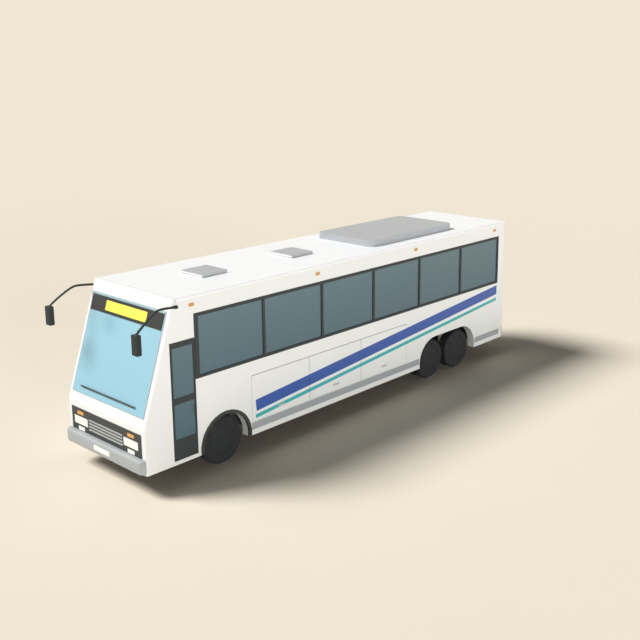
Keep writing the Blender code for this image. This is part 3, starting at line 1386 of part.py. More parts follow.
def passenger_seats():
    """Rows of paired seats and a rear bench, all on four rails let onto the deck."""
    base = DECK_TOP + SEAM
    low = base + SEAT_RAIL_HEIGHT
    first, last = at(SEAT_FIRST), at(SEAT_FIRST + (SEAT_ROWS - 1) * SEAT_PITCH)
    rail_xs = (SEAT_OUTER - SEAT_WIDTH / 4, SEAT_OUTER - SEAT_WIDTH * 1.75 - SEAT_GAP)
    seats = None
    for side in (-1, 1):
        for x in rail_xs:
            rail = box(f"seat_rail_{side}_{x:.2f}", (side * x - SEAT_RAIL_WIDTH / 2, first, base),
                       (side * x + SEAT_RAIL_WIDTH / 2, last + SEAT_LENGTH, low + SEAM))
            if seats is None:
                rail.name = "passenger_seats"
                cutters.objects.unlink(rail)
                rail.hide_render = False
                rail.display_type = "TEXTURED"
                seats = keep(rail, SEAT_CLOTH)
            else:
                join(seats, rail)
    under = low + SEAT_HEIGHT * 0.3
    for row in range(SEAT_ROWS):
        front = at(SEAT_FIRST + row * SEAT_PITCH)
        outline = seat_outline(front, base, SEAT_LENGTH, SEAT_HEIGHT)
        rear_row = row == SEAT_ROWS - 1
        for side in (-1, 1):
            inner = SEAT_OUTER - 2 * SEAT_WIDTH - SEAT_GAP
            join(seats, prism(f"seat_pair_{row}_{side}", [outline], "X", side * inner, side * SEAT_OUTER))
            if not rear_row:
                beam_y = front + SEAT_LENGTH * 0.35
                join(seats, box(f"seat_beam_{row}_{side}",
                                (side * (inner + SEAM), beam_y, under - SEAT_LEG),
                                (side * (SEAT_OUTER - SEAM), beam_y + SEAT_LEG, under + SEAM)))
            legs = [
                ((side * x - SEAT_LEG / 3, front + SEAT_LENGTH * 0.36, base + SEAM),
                 (side * x + SEAT_LEG / 3, front + SEAT_LENGTH * 0.4, under - SEAT_LEG / 2))
                for x in rail_xs
            ]
            join(seats, boxes(f"seat_legs_{row}_{side}", legs))
        if rear_row:
            inner = SEAT_OUTER - SEAT_WIDTH * 2 - SEAT_GAP
            join(seats, prism("rear_bench", [outline], "X", -inner + SEAT_GAP, inner - SEAT_GAP))
            join(seats, box("bench_beam", (-SEAT_OUTER + SEAM, front + SEAT_LENGTH * 0.35, under - SEAT_LEG),
                            (SEAT_OUTER - SEAM, front + SEAT_LENGTH * 0.45, under + SEAM)))
    return seats


def driver_seat():
    base = PLATFORM_TOP + SEAM
    front = at(DRIVER_SEAT_STATION)
    outline = seat_outline(front, base, SEAT_LENGTH * 0.95, SEAT_HEIGHT)
    low, high = DRIVER_X - DRIVER_SEAT_HALF_WIDTH, DRIVER_X + DRIVER_SEAT_HALF_WIDTH
    seat = prism("driver_seat", [outline], "X", low, high, SEAT_CLOTH)
    inset = DRIVER_SEAT_HALF_WIDTH / 2
    join(seat, box("seat_pedestal", (low + inset, front + SEAT_LENGTH * 0.22, base),
                   (high - inset, front + SEAT_LENGTH * 0.6, base + SEAT_HEIGHT * 0.33)))
    return seat


def column_axis():
    return Vector((0, math.sin(STEERING_TILT), math.cos(STEERING_TILT)))


def hub_point():
    return Vector((DRIVER_X, at(WHEEL_HUB_STATION), WHEEL_HUB_HEIGHT))


def dashboard():
    base = PLATFORM_TOP + SEAM
    front = at(PANEL * 1.4)
    outline = [(front + DASH_DEPTH * along, base + DASH_HEIGHT * up) for along, up in DASH_SHARES]
    lean = [(max(y, at(nose_station(z) + PANEL * 1.2)), z) for y, z in outline]
    dash = prism("dashboard", [lean], "X", -DASH_HALF_WIDTH, DASH_HALF_WIDTH, DASH_PLASTIC)
    axis, hub = column_axis(), hub_point()
    top = hub - axis * STEERING_RIM * 2
    join(dash, rod("column", top - axis * COLUMN_LENGTH, top, COLUMN_RADIUS))
    bore_radius = COLUMN_RADIUS / 2 + BEARING_CLEARANCE
    cut(dash, rod("column_bore", top - axis * COLUMN_RADIUS * 2, top + axis * OVERRUN, bore_radius))
    return dash


def steering_wheel():
    axis, hub = column_axis(), hub_point()
    turn = axis.to_track_quat("Z", "Y").to_matrix().to_4x4()
    foot = hub - axis * (STEERING_RIM * 2 + COLUMN_RADIUS * 1.5)
    wheel = rod("steering_wheel", foot, hub, COLUMN_RADIUS / 2, DASH_PLASTIC)
    boss = axis * STEERING_RIM
    join(wheel, rod("steering_boss", hub - boss, hub + boss, COLUMN_RADIUS * 1.4))
    for i in range(3):
        spoke = math.radians(90 + 120 * i)
        out = turn @ Vector((math.cos(spoke), math.sin(spoke), 0))
        join(wheel, rod(f"spoke_{i}", hub, hub + out * STEERING_RADIUS, STEERING_RIM * 0.8, None, 8))
    section = arc(STEERING_RADIUS, 0, STEERING_RIM, 0, -math.tau * 5 / 6, 5)
    ring = turned("steering_rim", section, (0, 0, 0), 1, WHEEL_STEPS)
    ring.matrix_world = Matrix.Translation(hub) @ turn
    join(wheel, ring)
    return wheel


def build():
    left, right = side_wall(1), side_wall(-1)
    roof = roof_panel()
    front_panel()
    rear = rear_panel()
    windscreen()
    destination_sign()
    wiper()
    rear_window()
    front_mask()
    bumper("front_bumper", -BUMPER_DEPTH, -SEAM, -1)
    bumper("rear_bumper", BODY_LENGTH + SEAM, BODY_LENGTH + SEAM + REAR_BUMPER_DEPTH, 1)
    for side, wall in ((1, left), (-1, right)):
        side_glass(side)
        window_frame(side)
        lamp_cluster(side)
        rear_lamp(side)
        mirror(side)
        knuckle(side)
        for number, edges in enumerate(bay_edges(), 1):
            luggage_flap(side, number, edges, wall)
    door_leaf(left)
    engine_door(rear)
    for name, station in zip(("roof_hatch_front", "roof_hatch_rear"), HATCH_STATIONS):
        roof_hatch(name, station, roof)
    ac_unit()
    floor_structure()
    chassis_frame()
    engine_block()
    front_axle()
    beam_axle("drive_axle", DRIVE_AXLE, True)
    beam_axle("tag_axle", TAG_AXLE, False)
    twin_depth = TYRE_WIDTH + TWIN_SPACING
    for side, word in ((1, "left"), (-1, "right")):
        tyre(f"front_tyre_{word}", side, FRONT_AXLE, WHEEL_CENTRE)
        rim(f"front_rim_{word}", side, FRONT_AXLE, TYRE_WIDTH)
        tyre(f"drive_tyre_{word}_outer", side, DRIVE_AXLE, WHEEL_CENTRE)
        tyre(f"drive_tyre_{word}_inner", side, DRIVE_AXLE, WHEEL_CENTRE - TWIN_SPACING)
        rim(f"drive_rim_{word}", side, DRIVE_AXLE, twin_depth)
        tyre(f"tag_tyre_{word}", side, TAG_AXLE, WHEEL_CENTRE)
        rim(f"tag_rim_{word}", side, TAG_AXLE, TYRE_WIDTH)
    passenger_seats()
    driver_seat()
    dashboard()
    steering_wheel()


build()
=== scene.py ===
import json
import math

import bmesh
import bpy
from mathutils import Matrix, Vector


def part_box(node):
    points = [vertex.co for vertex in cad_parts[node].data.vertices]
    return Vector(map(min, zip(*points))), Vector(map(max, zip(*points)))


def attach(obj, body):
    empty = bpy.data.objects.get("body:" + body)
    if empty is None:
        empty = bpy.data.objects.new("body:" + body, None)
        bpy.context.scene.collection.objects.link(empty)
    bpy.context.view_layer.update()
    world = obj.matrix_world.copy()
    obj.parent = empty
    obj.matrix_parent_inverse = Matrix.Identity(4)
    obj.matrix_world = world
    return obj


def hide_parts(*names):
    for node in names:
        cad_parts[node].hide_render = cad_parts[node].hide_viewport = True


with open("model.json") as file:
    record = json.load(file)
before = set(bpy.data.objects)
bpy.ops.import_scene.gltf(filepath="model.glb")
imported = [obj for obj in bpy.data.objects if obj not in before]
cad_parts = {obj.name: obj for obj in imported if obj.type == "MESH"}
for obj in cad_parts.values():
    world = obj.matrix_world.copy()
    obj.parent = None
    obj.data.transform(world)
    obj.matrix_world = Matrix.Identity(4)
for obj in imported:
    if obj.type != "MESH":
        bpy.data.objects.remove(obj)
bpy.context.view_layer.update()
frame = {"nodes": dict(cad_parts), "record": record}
scene = bpy.context.scene
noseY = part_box("front_panel")[0].y  # the flat lower part of the front; stations count back from it
print("stage: frame loaded")


def at(station):
    return noseY + station


def shade(code):
    # a written web colour as the linear colour that a shader takes
    values = [int(code[i:i + 2], 16) / 255 for i in (0, 2, 4)]
    return tuple(v / 12.92 if v <= 0.04045 else ((v + 0.055) / 1.055) ** 2.4 for v in values) + (1.0,)


class Wire:
    # one output socket; an expression on it adds the Math nodes it needs
    def __init__(self, recipe, socket):
        self.recipe = recipe
        self.socket = socket

    def maths(self, operation, *values, clamp=False):
        settings = {"operation": operation, "use_clamp": clamp}
        return self.recipe.node("ShaderNodeMath", settings, dict(enumerate(values)))

    def __add__(self, other):
        return self.maths("ADD", self, other)

    def __sub__(self, other):
        return self.maths("SUBTRACT", self, other)

    def __rsub__(self, other):
        return self.maths("SUBTRACT", other, self)

    def __mul__(self, other):
        return self.maths("MULTIPLY", self, other)

    def __truediv__(self, other):
        return self.maths("DIVIDE", self, other)

    def __pow__(self, other):
        return self.maths("POWER", self, other)

    def __abs__(self):
        return self.maths("ABSOLUTE", self)

    __radd__ = __add__
    __rmul__ = __mul__

    def above(self, level, soft=0.002):
        # 1 over the level, 0 under it, with an edge as wide as soft
        return self.maths("MULTIPLY_ADD", self - level, 1 / soft, 0.5, clamp=True)

    def below(self, level, soft=0.002):
        return 1 - self.above(level, soft)

    def inside(self, low, high, soft=0.002):
        return self.above(low, soft) * self.below(high, soft)

    def fraction(self):
        return self.maths("FRACT", self)

    def sine(self):
        return self.maths("SINE", self)


class Graph:
    # a node tree that is filled through one method
    def __init__(self, tree):
        self.tree = tree

    def node(self, kind, settings=None, inputs=None, output=0):
        made = self.tree.nodes.new(kind)
        for setting, value in (settings or {}).items():
            setattr(made, setting, value)
        for socket, value in (inputs or {}).items():
            self.join(made.inputs[socket], value)
        return Wire(self, made.outputs[output])

    def join(self, socket, value):
        if isinstance(value, Wire):
            self.tree.links.new(value.socket, socket)
        else:
            socket.default_value = value


class Recipe(Graph):
    # one material: its Principled shader, its place on the object, and the nodes before them
    def __init__(self, name, **constants):
        self.material = bpy.data.materials.new(name)
        self.material.use_nodes = True
        super().__init__(self.material.node_tree)
        self.shader = self.tree.nodes["Principled BSDF"]
        for socket, value in constants.items():
            self.shader.inputs[socket.replace("_", " ")].default_value = value
        self.place = self.node("ShaderNodeTexCoord", output="Object")
        parts = self.node("ShaderNodeSeparateXYZ", inputs={0: self.place}).socket.node
        self.x, self.y, self.z = (Wire(self, parts.outputs[i]) for i in range(3))
        self.station = self.y - noseY

    def blend(self, mask, under, over):
        return self.node("ShaderNodeMix", {"data_type": "RGBA"}, {0: mask, 6: under, 7: over}, 2)

    def stretched(self, size):
        settings = {"operation": "MULTIPLY"}
        return self.node("ShaderNodeVectorMath", settings, {0: self.place, 1: size})

    def cloud(self, scale, detail=3.0, place=None):
        inputs = {"Vector": place or self.place, "Scale": scale, "Detail": detail}
        return self.node("ShaderNodeTexNoise", None, inputs)

    def cells(self, scale):
        return self.node("ShaderNodeTexVoronoi", None, {"Vector": self.place, "Scale": scale})

    def give(self, **links):
        for socket, value in links.items():
            self.join(self.shader.inputs[socket.replace("_", " ")], value)

    def bump(self, height, strength=0.3, distance=0.002):
        inputs = {"Height": height, "Strength": strength, "Distance": distance}
        self.give(Normal=self.node("ShaderNodeBump", None, inputs))


# Finishes

bodyFinish = {
    "white": "edeeec", "greyWhite": "e5e6e4", "dust": "cdcac0", "dustTop": 0.97, "dustFade": 1.0,
    "roughness": 0.32, "side": 1.245, "proud": 1.2765, "behindArch": 2.54,
    "blue": "3458a4", "blueTop": 1.144, "blueRise": 0.0897, "blueHeight": 0.245,
    "blueFrom": 2.66, "blueTo": 11.31,
    "teal": "35aeb0", "tealTop": 0.833, "tealRise": 0.0872, "tealHeight": 0.08,
    "tealFrom": 2.65, "tealTo": 11.295,
    "lean": 0.08, "band": "9ea2a4", "bandUp": (0.52, 0.7),
    # seam is the grey painted as shade in the gaps between the luggage flaps
    "seam": "8b8d8b", "seamAt": (2.555, 4.2, 5.845, 7.49), "seamHalf": 0.02, "seamUp": (0.7, 1.685),
    "seamAcross": (1.15, 1.2725), "amber": "cd9450", "markerFoot": 3.4, "fluteTurns": 500,
    "lip": "303331", "lipAt": (1.2, 2.54), "lipTop": 1.27, "lipDepth": 1.238, "archAt": (1.89, 0.5),
    "archRadius": 0.584, "jambAt": (1.17, 1.2), "jambUp": (1.985, 2.8),
}


def bodyPaint():
    s = bodyFinish
    mix = Recipe("body_paint", Coat_Weight=0.25, Coat_Roughness=0.12, Specular_IOR_Level=0.45)
    across, station, up = abs(mix.x), mix.station, mix.z
    white = mix.blend(mix.cloud(0.7), shade(s["white"]), shade(s["greyWhite"]))
    dust = up.below(s["dustTop"], s["dustFade"]) * mix.cloud(5.0) * 0.2
    colour = mix.blend(dust, white, shade(s["dust"]))
    onSide = across.above(s["side"], 0.004)
    for word in ("blue", "teal"):
        # a stripe that climbs to the rear, its front edge leaning like the photo's
        top = s[word + "Top"] + s[word + "Rise"] * (station - s[word + "From"])
        height = (up - top).inside(-s[word + "Height"], 0.0)
        slant = station + (up - s[word + "Top"]) * s["lean"]
        stripe = height * slant.above(s[word + "From"]) * station.below(s[word + "To"])
        colour = mix.blend(stripe * onSide, colour, shade(s[word]))
    proud = across.above(s["proud"], 0.001)
    band = proud * up.inside(*s["bandUp"]) * station.above(s["behindArch"])
    colour = mix.blend(band, colour, shade(s["band"]))
    for middle in s["seamAt"]:
        # painted shade: the narrow posts between the luggage flaps are painted grey where the gaps fall in
        # shade
        gapShade = station.inside(middle - s["seamHalf"], middle + s["seamHalf"]) * up.inside(*s["seamUp"])
        colour = mix.blend(gapShade * across.inside(*s["seamAcross"], 0.0005), colour, shade(s["seam"]))
    marker = proud * up.above(s["markerFoot"])
    colour = mix.blend(marker, colour, shade(s["amber"]))
    arch = ((station - s["archAt"][0]) ** 2.0 + (up - s["archAt"][1]) ** 2.0) ** 0.5
    lip = proud * station.inside(*s["lipAt"]) * up.below(s["lipTop"])
    lip = lip.maths("MAXIMUM", lip, arch.below(s["archRadius"], 0.001) * across.above(s["lipDepth"]))
    jamb = onSide * station.inside(*s["jambAt"]) * up.inside(*s["jambUp"]) * mix.x.above(0.0)
    lip = lip.maths("MAXIMUM", lip, jamb)
    colour = mix.blend(lip, colour, shade(s["lip"]))
    roughness = s["roughness"] + dust * 0.9 + band * 0.2 + lip * 0.2 + mix.cloud(9.0) * 0.06
    mix.give(Base_Color=colour, Roughness=roughness)
    flute = (mix.y * s["fluteTurns"]).sine() * marker * 0.6
    mix.bump(mix.cloud(110.0) * 0.16 + mix.cloud(1.7) * 1.5 + flute, 0.12, 0.003)
    return mix.material


def roofPaint():
    s = {"white": "f8f8fa", "grey": "f2f3f5", "dust": "ebe9e2", "seam": "d2d3d0",
         "firstLap": 0.9, "pitch": 1.65, "seamShare": (0.498, 0.502), "flatFrom": 3.61}
    mix = Recipe("roof_paint", Coat_Weight=0.15, Coat_Roughness=0.2)
    tone = mix.blend(mix.cloud(0.9), shade(s["white"]), shade(s["grey"]))
    tone = mix.blend(mix.cloud(6.0, 6.0) * 0.2, tone, shade(s["dust"]))
    lap = ((mix.station - s["firstLap"]) / s["pitch"]).fraction()
    seam = lap.inside(*s["seamShare"]) * mix.z.above(s["flatFrom"])
    mix.give(Base_Color=mix.blend(seam * 0.35, tone, shade(s["seam"])), Roughness=0.38 + mix.cloud(8.0) * 0.1)
    mix.bump(mix.cloud(1.3) * 1.5 - seam * 0.6 + mix.cloud(120.0) * 0.1, 0.14, 0.003)
    return mix.material


def plainFinish(name, colours, roughness, grain, strength=0.2, wear=0.0, **constants):
    # moulded, cast or rolled stuff: a tone that drifts from the first colour to the second, a grain of this
    # scale with a bump of this strength, and scuffs in the third colour where wear is asked
    mix = Recipe(name, **constants)
    drift = mix.blend(mix.cloud(2.2, 5.0), shade(colours[0]), shade(colours[1]))
    fine = mix.cloud(grain, 2.0)
    colour = mix.blend(fine * 0.3, drift, shade(colours[1]))
    if wear:
        scuff = mix.cloud(14.0, 8.0).above(0.62, 0.1) * wear
        colour = mix.blend(scuff, colour, shade(colours[2]))
        mix.give(Roughness=roughness + scuff * 0.2 + fine * 0.08)
    else:
        mix.give(Roughness=roughness + fine * 0.1)
    mix.give(Base_Color=colour)
    mix.bump(fine + mix.cloud(grain / 9) * 0.5, strength, 0.001)
    return mix.material


def sideGlass():
    s = {"low": "4b6672", "high": "5d767f", "middle": 2.57, "reflectionFade": 1.4, "reflectionStreak": (1.0, 1.0, 0.25)}
    mix = Recipe("side_glass", Alpha=0.93, Coat_Weight=0.2, Specular_IOR_Level=0.5)
    # painted reflection: the glass is painted lighter towards the top
    reflectionRise = mix.z.above(s["middle"], s["reflectionFade"])
    colour = mix.blend(reflectionRise, shade(s["low"]), shade(s["high"]))
    # painted reflection: lighter vertical streaks on the glass
    reflectionStreak = mix.cloud(1.2, 2.0, mix.stretched(s["reflectionStreak"]))
    colour = mix.blend(reflectionStreak * 0.25, colour, shade(s["high"]))
    mix.give(Base_Color=colour, Roughness=0.09 + mix.cloud(5.0) * 0.08)
    mix.bump(mix.cloud(0.8, 1.0), 0.05, 0.004)
    return mix.material


def screenGlass():
    s = {"foot": "90c0d2", "head": "97c5d5", "middle": 2.37, "reflectionFade": 1.6, "tint": "a4bdbe", "tintFrom": 3.34}
    mix = Recipe("screen_glass", Alpha=0.95, Coat_Weight=0.2, Specular_IOR_Level=0.5)
    # painted reflection: the glass is painted lighter towards the top
    colour = mix.blend(mix.z.above(s["middle"], s["reflectionFade"]), shade(s["foot"]), shade(s["head"]))
    rim = mix.z.above(s["tintFrom"], 0.01)
    colour = mix.blend(rim * 0.8, colour, shade(s["tint"]))
    mix.give(Base_Color=colour, Roughness=0.1 + mix.cloud(4.0) * 0.08)
    mix.bump(mix.cloud(0.7, 1.0), 0.05, 0.004)
    return mix.material


def signPanel():
    s = {"dark": "191d20", "weave": "222629", "blind": "ffff5e", "blindEdge": "e6dc3c",
         "halfWidth": 0.66, "slack": 0.0005, "edge": 0.02, "up": (3.106, 3.296)}
    mix = Recipe("sign_panel", Coat_Weight=0.1)
    across = abs(mix.x)
    blind = across.below(s["halfWidth"] + s["slack"], 0.001) * mix.z.inside(*s["up"], 0.001)
    edge = across.above(s["halfWidth"] - s["edge"], s["edge"])
    weave = mix.cloud(60.0, 2.0)
    dark = mix.blend(weave * 0.4, shade(s["dark"]), shade(s["weave"]))
    yellow = mix.blend(edge * 0.5 + mix.cloud(3.0) * 0.2, shade(s["blind"]), shade(s["blindEdge"]))
    mix.give(Base_Color=mix.blend(blind, dark, yellow), Roughness=0.5 - blind * 0.15)
    mix.bump(weave, 0.12, 0.001)
    return mix.material


def maskPlastic():
    s = {"dark": ("2f3333", "373b3b"), "bar": ("adafab", "989b97"), "halfWidth": 0.565,
         "low": 0.805, "high": 1.062, "bars": 4, "barShare": 0.47, "barDepth": 0.012}
    mix = Recipe("mask_plastic")
    pitch = (s["high"] - s["low"]) / s["bars"]
    along = ((mix.z - s["low"]) / pitch).fraction()
    bars = abs(along - 0.5).below(s["barShare"] / 2, 0.02) * abs(mix.x).below(s["halfWidth"], 0.004)
    bars = bars * mix.z.inside(s["low"], s["high"]) * mix.station.below(s["barDepth"], 0.01)
    grain = mix.cloud(160.0, 2.0)
    dark = mix.blend(mix.cloud(3.0), *map(shade, s["dark"]))
    mix.give(Base_Color=mix.blend(bars, dark, mix.blend(grain * 0.5, *map(shade, s["bar"]))),
             Roughness=0.5 - bars * 0.12 + grain * 0.08)
    mix.bump(grain, 0.15, 0.001)
    return mix.material


def lampLens():
    s = {"clear": "fbfbf2", "shade": "d9dcd6", "amber": "e09c40", "housing": "8a8d8c",
         "fluteWidth": 0.013, "bowlAt": (0.83, 0.948), "bowlRadius": 0.045, "bowlFlat": 0.35,
         "amberFoot": 1.055, "housingFrom": 0.02}
    mix = Recipe("lamp_lens", Coat_Weight=0.5, Coat_Roughness=0.05, Specular_IOR_Level=0.55)
    # painted shade: the clear lens is painted darker across each flute and in the round bowl
    flute = abs((mix.x / s["fluteWidth"]).fraction() - 0.5) * 2
    clear = mix.blend(flute * 0.35, shade(s["clear"]), shade(s["shade"]))
    sideways = (abs(mix.x) - s["bowlAt"][0]) ** 2.0 * s["bowlFlat"]
    bowl = (sideways + (mix.z - s["bowlAt"][1]) ** 2.0) ** 0.5
    clear = mix.blend(bowl.below(s["bowlRadius"], 0.012) * 0.25, clear, shade(s["shade"]))
    colour = mix.blend(mix.z.above(s["amberFoot"], 0.004), clear, shade(s["amber"]))
    colour = mix.blend(mix.station.above(s["housingFrom"], 0.004), colour, shade(s["housing"]))
    mix.give(Base_Color=colour, Roughness=0.12 + flute * 0.1)
    mix.bump(flute, 0.35, 0.002)
    return mix.material


def tailLamp():
    s = {"red": "b8151a", "amber": "f08a1c", "clear": "e9e6df", "dot": "30100e", "low": 1.02, "high": 1.82}
    mix = Recipe("tail_lamp", Coat_Weight=0.5, Coat_Roughness=0.06)
    third = (s["high"] - s["low"]) / 3
    colour = mix.blend(mix.z.above(s["low"] + third), shade(s["clear"]), shade(s["red"]))
    colour = mix.blend(mix.z.above(s["low"] + 2 * third), colour, shade(s["amber"]))
    dots = mix.cells(70.0)
    mix.give(Base_Color=mix.blend(dots * 0.4, colour, shade(s["dot"])), Roughness=0.12 + dots * 0.15)
    mix.bump(dots, 0.4, 0.002)
    return mix.material


def tyreRubber():
    mix = Recipe("tyre_rubber", Specular_IOR_Level=0.35)
    grime = mix.cloud(7.0, 6.0)
    fine = mix.cloud(180.0, 2.0)
    colour = mix.blend(grime, shade("222326"), shade("292b2e"))
    colour = mix.blend(grime.above(0.6, 0.2) * 0.2, colour, shade("4a4843"))
    mix.give(Base_Color=colour, Roughness=0.78 + fine * 0.14)
    mix.bump(fine + mix.cloud(30.0) * 0.5, 0.3, 0.0012)
    return mix.material


def seatCloth():
    s = {"deep": "3d4d6c", "thread": "5a6d92", "fleck": "a9b3c4", "worn": "2c3850", "warpTurns": 2100,
         "weftTurns": 1500}
    mix = Recipe("seat_cloth", Specular_IOR_Level=0.2, Sheen_Weight=0.3)
    warp = (mix.x * s["warpTurns"]).sine() * 0.5 + 0.5
    weft = (mix.y * s["weftTurns"] + mix.z * s["weftTurns"]).sine() * 0.5 + 0.5
    weave = warp * weft
    speck = mix.cells(150.0)
    colour = mix.blend(weave * 0.6, shade(s["deep"]), shade(s["thread"]))
    colour = mix.blend(speck.below(0.25, 0.1) * 0.5, colour, shade(s["fleck"]))
    colour = mix.blend(mix.cloud(8.0) * 0.3, colour, shade(s["worn"]))
    mix.give(Base_Color=colour, Roughness=0.86 + weave * 0.1)
    mix.bump(weave + mix.cloud(40.0) * 0.4, 0.35, 0.001)
    return mix.material


def floorVinyl():
    s = {"light": "7b7d80", "chip": "5c5e61", "tread": "47494c", "dust": "6c675e", "aisleHalf": 0.27,
         "aisleFoot": 1.27, "ribs": 40}
    mix = Recipe("floor_vinyl")
    chip = mix.cells(320.0)
    colour = mix.blend(chip * 0.7, shade(s["light"]), shade(s["chip"]))
    tread = abs(mix.x).below(s["aisleHalf"], 0.004) * mix.z.above(s["aisleFoot"])
    rib = abs((mix.x * s["ribs"]).fraction() - 0.5) * tread
    colour = mix.blend(tread * 0.45, colour, shade(s["tread"]))
    colour = mix.blend(mix.cloud(3.0, 6.0) * 0.3, colour, shade(s["dust"]))
    mix.give(Base_Color=colour, Roughness=0.6 + chip * 0.15)
    mix.bump(rib * 2 + chip * 0.3, 0.3, 0.002)
    return mix.material


def axleCasting():
    # the axles' cast iron, with rubber bellows above the beam near the frame rails
    s = {"iron": ("3a3b3b", "4c4b49"), "rust": "5b4a3c", "rubber": ("242526", "343536"), "bellowsFoot": 0.583,
         "bellowsAcross": (0.3, 0.54), "foldTurns": 210}
    mix = Recipe("axle_casting", Metallic=0.3)
    sand = mix.cloud(90.0, 4.0)
    bellows = mix.z.above(s["bellowsFoot"], 0.01) * abs(mix.x).inside(*s["bellowsAcross"])
    fold = (mix.z * s["foldTurns"]).sine() * 0.5 + 0.5
    iron = mix.blend(sand * 0.5, *map(shade, s["iron"]))
    iron = mix.blend(mix.cloud(11.0, 6.0).above(0.6, 0.15) * 0.4, iron, shade(s["rust"]))
    rubber = mix.blend(fold * 0.6, *map(shade, s["rubber"]))
    mix.give(Base_Color=mix.blend(bellows, iron, rubber), Roughness=0.62 + bellows * 0.15)
    mix.bump(sand * 0.6 * (1 - bellows) + fold * bellows * 2.5, 0.4, 0.003)
    return mix.material


def mirrorGlass():
    mix = Recipe("mirror_glass", Metallic=1.0)
    haze = mix.cloud(18.0, 2.0)
    mix.give(Base_Color=mix.blend(haze * 0.2, shade("d8dde0"), shade("aab4b9")), Roughness=0.04 + haze * 0.05)
    return mix.material


finishes = {
    "white_paint": bodyPaint(),
    "roof_paint": roofPaint(),
    "dark_trim": plainFinish("dark_trim", ("2e3334", "363c3d"), 0.45, 210.0, 0.15, Specular_IOR_Level=0.35),
    "side_glass": sideGlass(),
    "screen_glass": screenGlass(),
    "sign_panel": signPanel(),
    "grey_plastic": plainFinish("grey_plastic", ("c0c3c4", "b3b7b9"), 0.45, 150.0, 0.12),
    "hatch_grey": plainFinish("hatch_grey", ("b5b7b8", "a6a9ab"), 0.45, 190.0, 0.15),
    "lamp_lens": lampLens(),
    "tail_lamp": tailLamp(),
    "tyre_rubber": tyreRubber(),
    "wheel_cover": plainFinish("wheel_cover", ("26282a", "2c2e30", "3a3936"), 0.62, 120.0, 0.12, 0.2,
                               Specular_IOR_Level=0.25),
    "chassis_steel": plainFinish("chassis_steel", ("2b2d2f", "37393b", "5a4636"), 0.6, 70.0, 0.3, 0.5,
                                 Metallic=0.2),
    "axle_casting": axleCasting(),
    "floor_vinyl": floorVinyl(),
    "seat_cloth": seatCloth(),
    "dash_plastic": plainFinish("dash_plastic", ("46484b", "3a3c3f"), 0.62, 260.0, 0.3),
    "engine_iron": plainFinish("engine_iron", ("55585a", "404344", "6b4a36"), 0.55, 60.0, 0.4, 0.5,
                               Metallic=0.4),
}
bumperFinish = plainFinish("bumper_plastic", ("acafae", "a2a5a5", "8b8d8b"), 0.55, 170.0, 0.15, 0.2,
                           Specular_IOR_Level=0.3)
coolerFinish = plainFinish("cooler_shell", ("b1b3b5", "a6a9ac"), 0.42, 140.0, 0.12)
mirrorShell = plainFinish("mirror_shell", ("212627", "282d2e"), 0.5, 200.0, 0.15, Specular_IOR_Level=0.3)
mirrorFinish = mirrorGlass()
plateFinish = plainFinish("plate_white", ("f6f6f2", "e9e9e4"), 0.35, 90.0, 0.08)
gasketFinish = plainFinish("screen_gasket", ("a8babf", "98aaaf"), 0.6, 200.0, 0.15)
pullFinish = plainFinish("flap_pull", ("c3c5c4", "b4b7b6"), 0.5, 180.0, 0.15)
sealFinish = plainFinish("rubber_seal", ("2c2e2f", "383a3b"), 0.7, 220.0, 0.25)
shellFinish = plainFinish("seat_shell", ("55595d", "4a4d51"), 0.55, 240.0, 0.2)
railFinish = plainFinish("grab_rail_coat", ("e0b83a", "cfa832"), 0.35, 90.0, 0.08)

# nodes that wear another finish than their slot's
ownFinishes = {"front_mask": maskPlastic(), "ac_unit": coolerFinish, "front_bumper": bumperFinish,
               "rear_bumper": bumperFinish, "mirror_left": mirrorShell, "mirror_right": mirrorShell}

for item in frame["record"]["subparts"]:
    node = frame["nodes"][item["node"]]
    node.data.materials.clear()
    node.data.materials.append(ownFinishes.get(item["node"], finishes[item["material_slot"]]))
print("stage: finishes made")


# Shapes that several pieces share

def block(shape, low, high, bevel=0.0, segments=2, place=None):
    # a box between two corners, its edges rounded where asked
    low, high = Vector(low), Vector(high)
    spread = Matrix.Translation((low + high) / 2) @ Matrix.Diagonal((*(high - low), 1))
    made = bmesh.ops.create_cube(shape, size=1, matrix=(place or Matrix()) @ spread)
    if bevel:
        edges = list({edge for vert in made["verts"] for edge in vert.link_edges})
        bmesh.ops.bevel(shape, geom=edges, offset=bevel, segments=segments, profile=0.5, affect="EDGES",
                        material=-1)


def bar(shape, start, end, radius, steps=12, endRadius=None, place=None):
    start, end = Vector(start), Vector(end)
    along = end - start
    turn = along.to_track_quat("Z", "Y").to_matrix().to_4x4()
    spot = (place or Matrix()) @ Matrix.Translation(start + along / 2) @ turn
    bmesh.ops.create_cone(shape, cap_ends=True, segments=steps, radius1=radius,
                          radius2=radius if endRadius is None else endRadius, depth=along.length, matrix=spot)


def pipe(shape, points, radius, steps=10):
    # a bent rod: straight lengths with a ball at each bend
    for start, end in zip(points, points[1:]):
        bar(shape, start, end, radius, steps)
    for point in points[1:-1]:
        bmesh.ops.create_icosphere(shape, subdivisions=2, radius=radius * 1.005,
                                   matrix=Matrix.Translation(point))


def spun(shape, profile, centre, side, steps):
    # a line of (radius, distance outwards) turned once about the wheel's axle
    verts = [shape.verts.new((centre[0] + side * out, centre[1], centre[2] + radius))
             for radius, out in profile]
    edges = [shape.edges.new(pair) for pair in zip(verts, verts[1:])]
    bmesh.ops.spin(shape, geom=verts + edges, cent=centre, axis=(1, 0, 0), angle=math.tau, steps=steps,
                   use_merge=True)
    bmesh.ops.remove_doubles(shape, verts=shape.verts, dist=0.00002)
    bmesh.ops.dissolve_degenerate(shape, edges=shape.edges, dist=0.00001)


def borderBars(left, foot, right, top, width, lap=0.0005):
    # the four bars of a rectangle: the upright ones whole, the level ones lapping a little into them
    inner = width - lap
    return (((left, foot), (left + width, top)), ((right - width, foot), (right, top)),
            ((left + inner, foot), (right - inner, foot + width)),
            ((left + inner, top - width), (right - inner, top)))


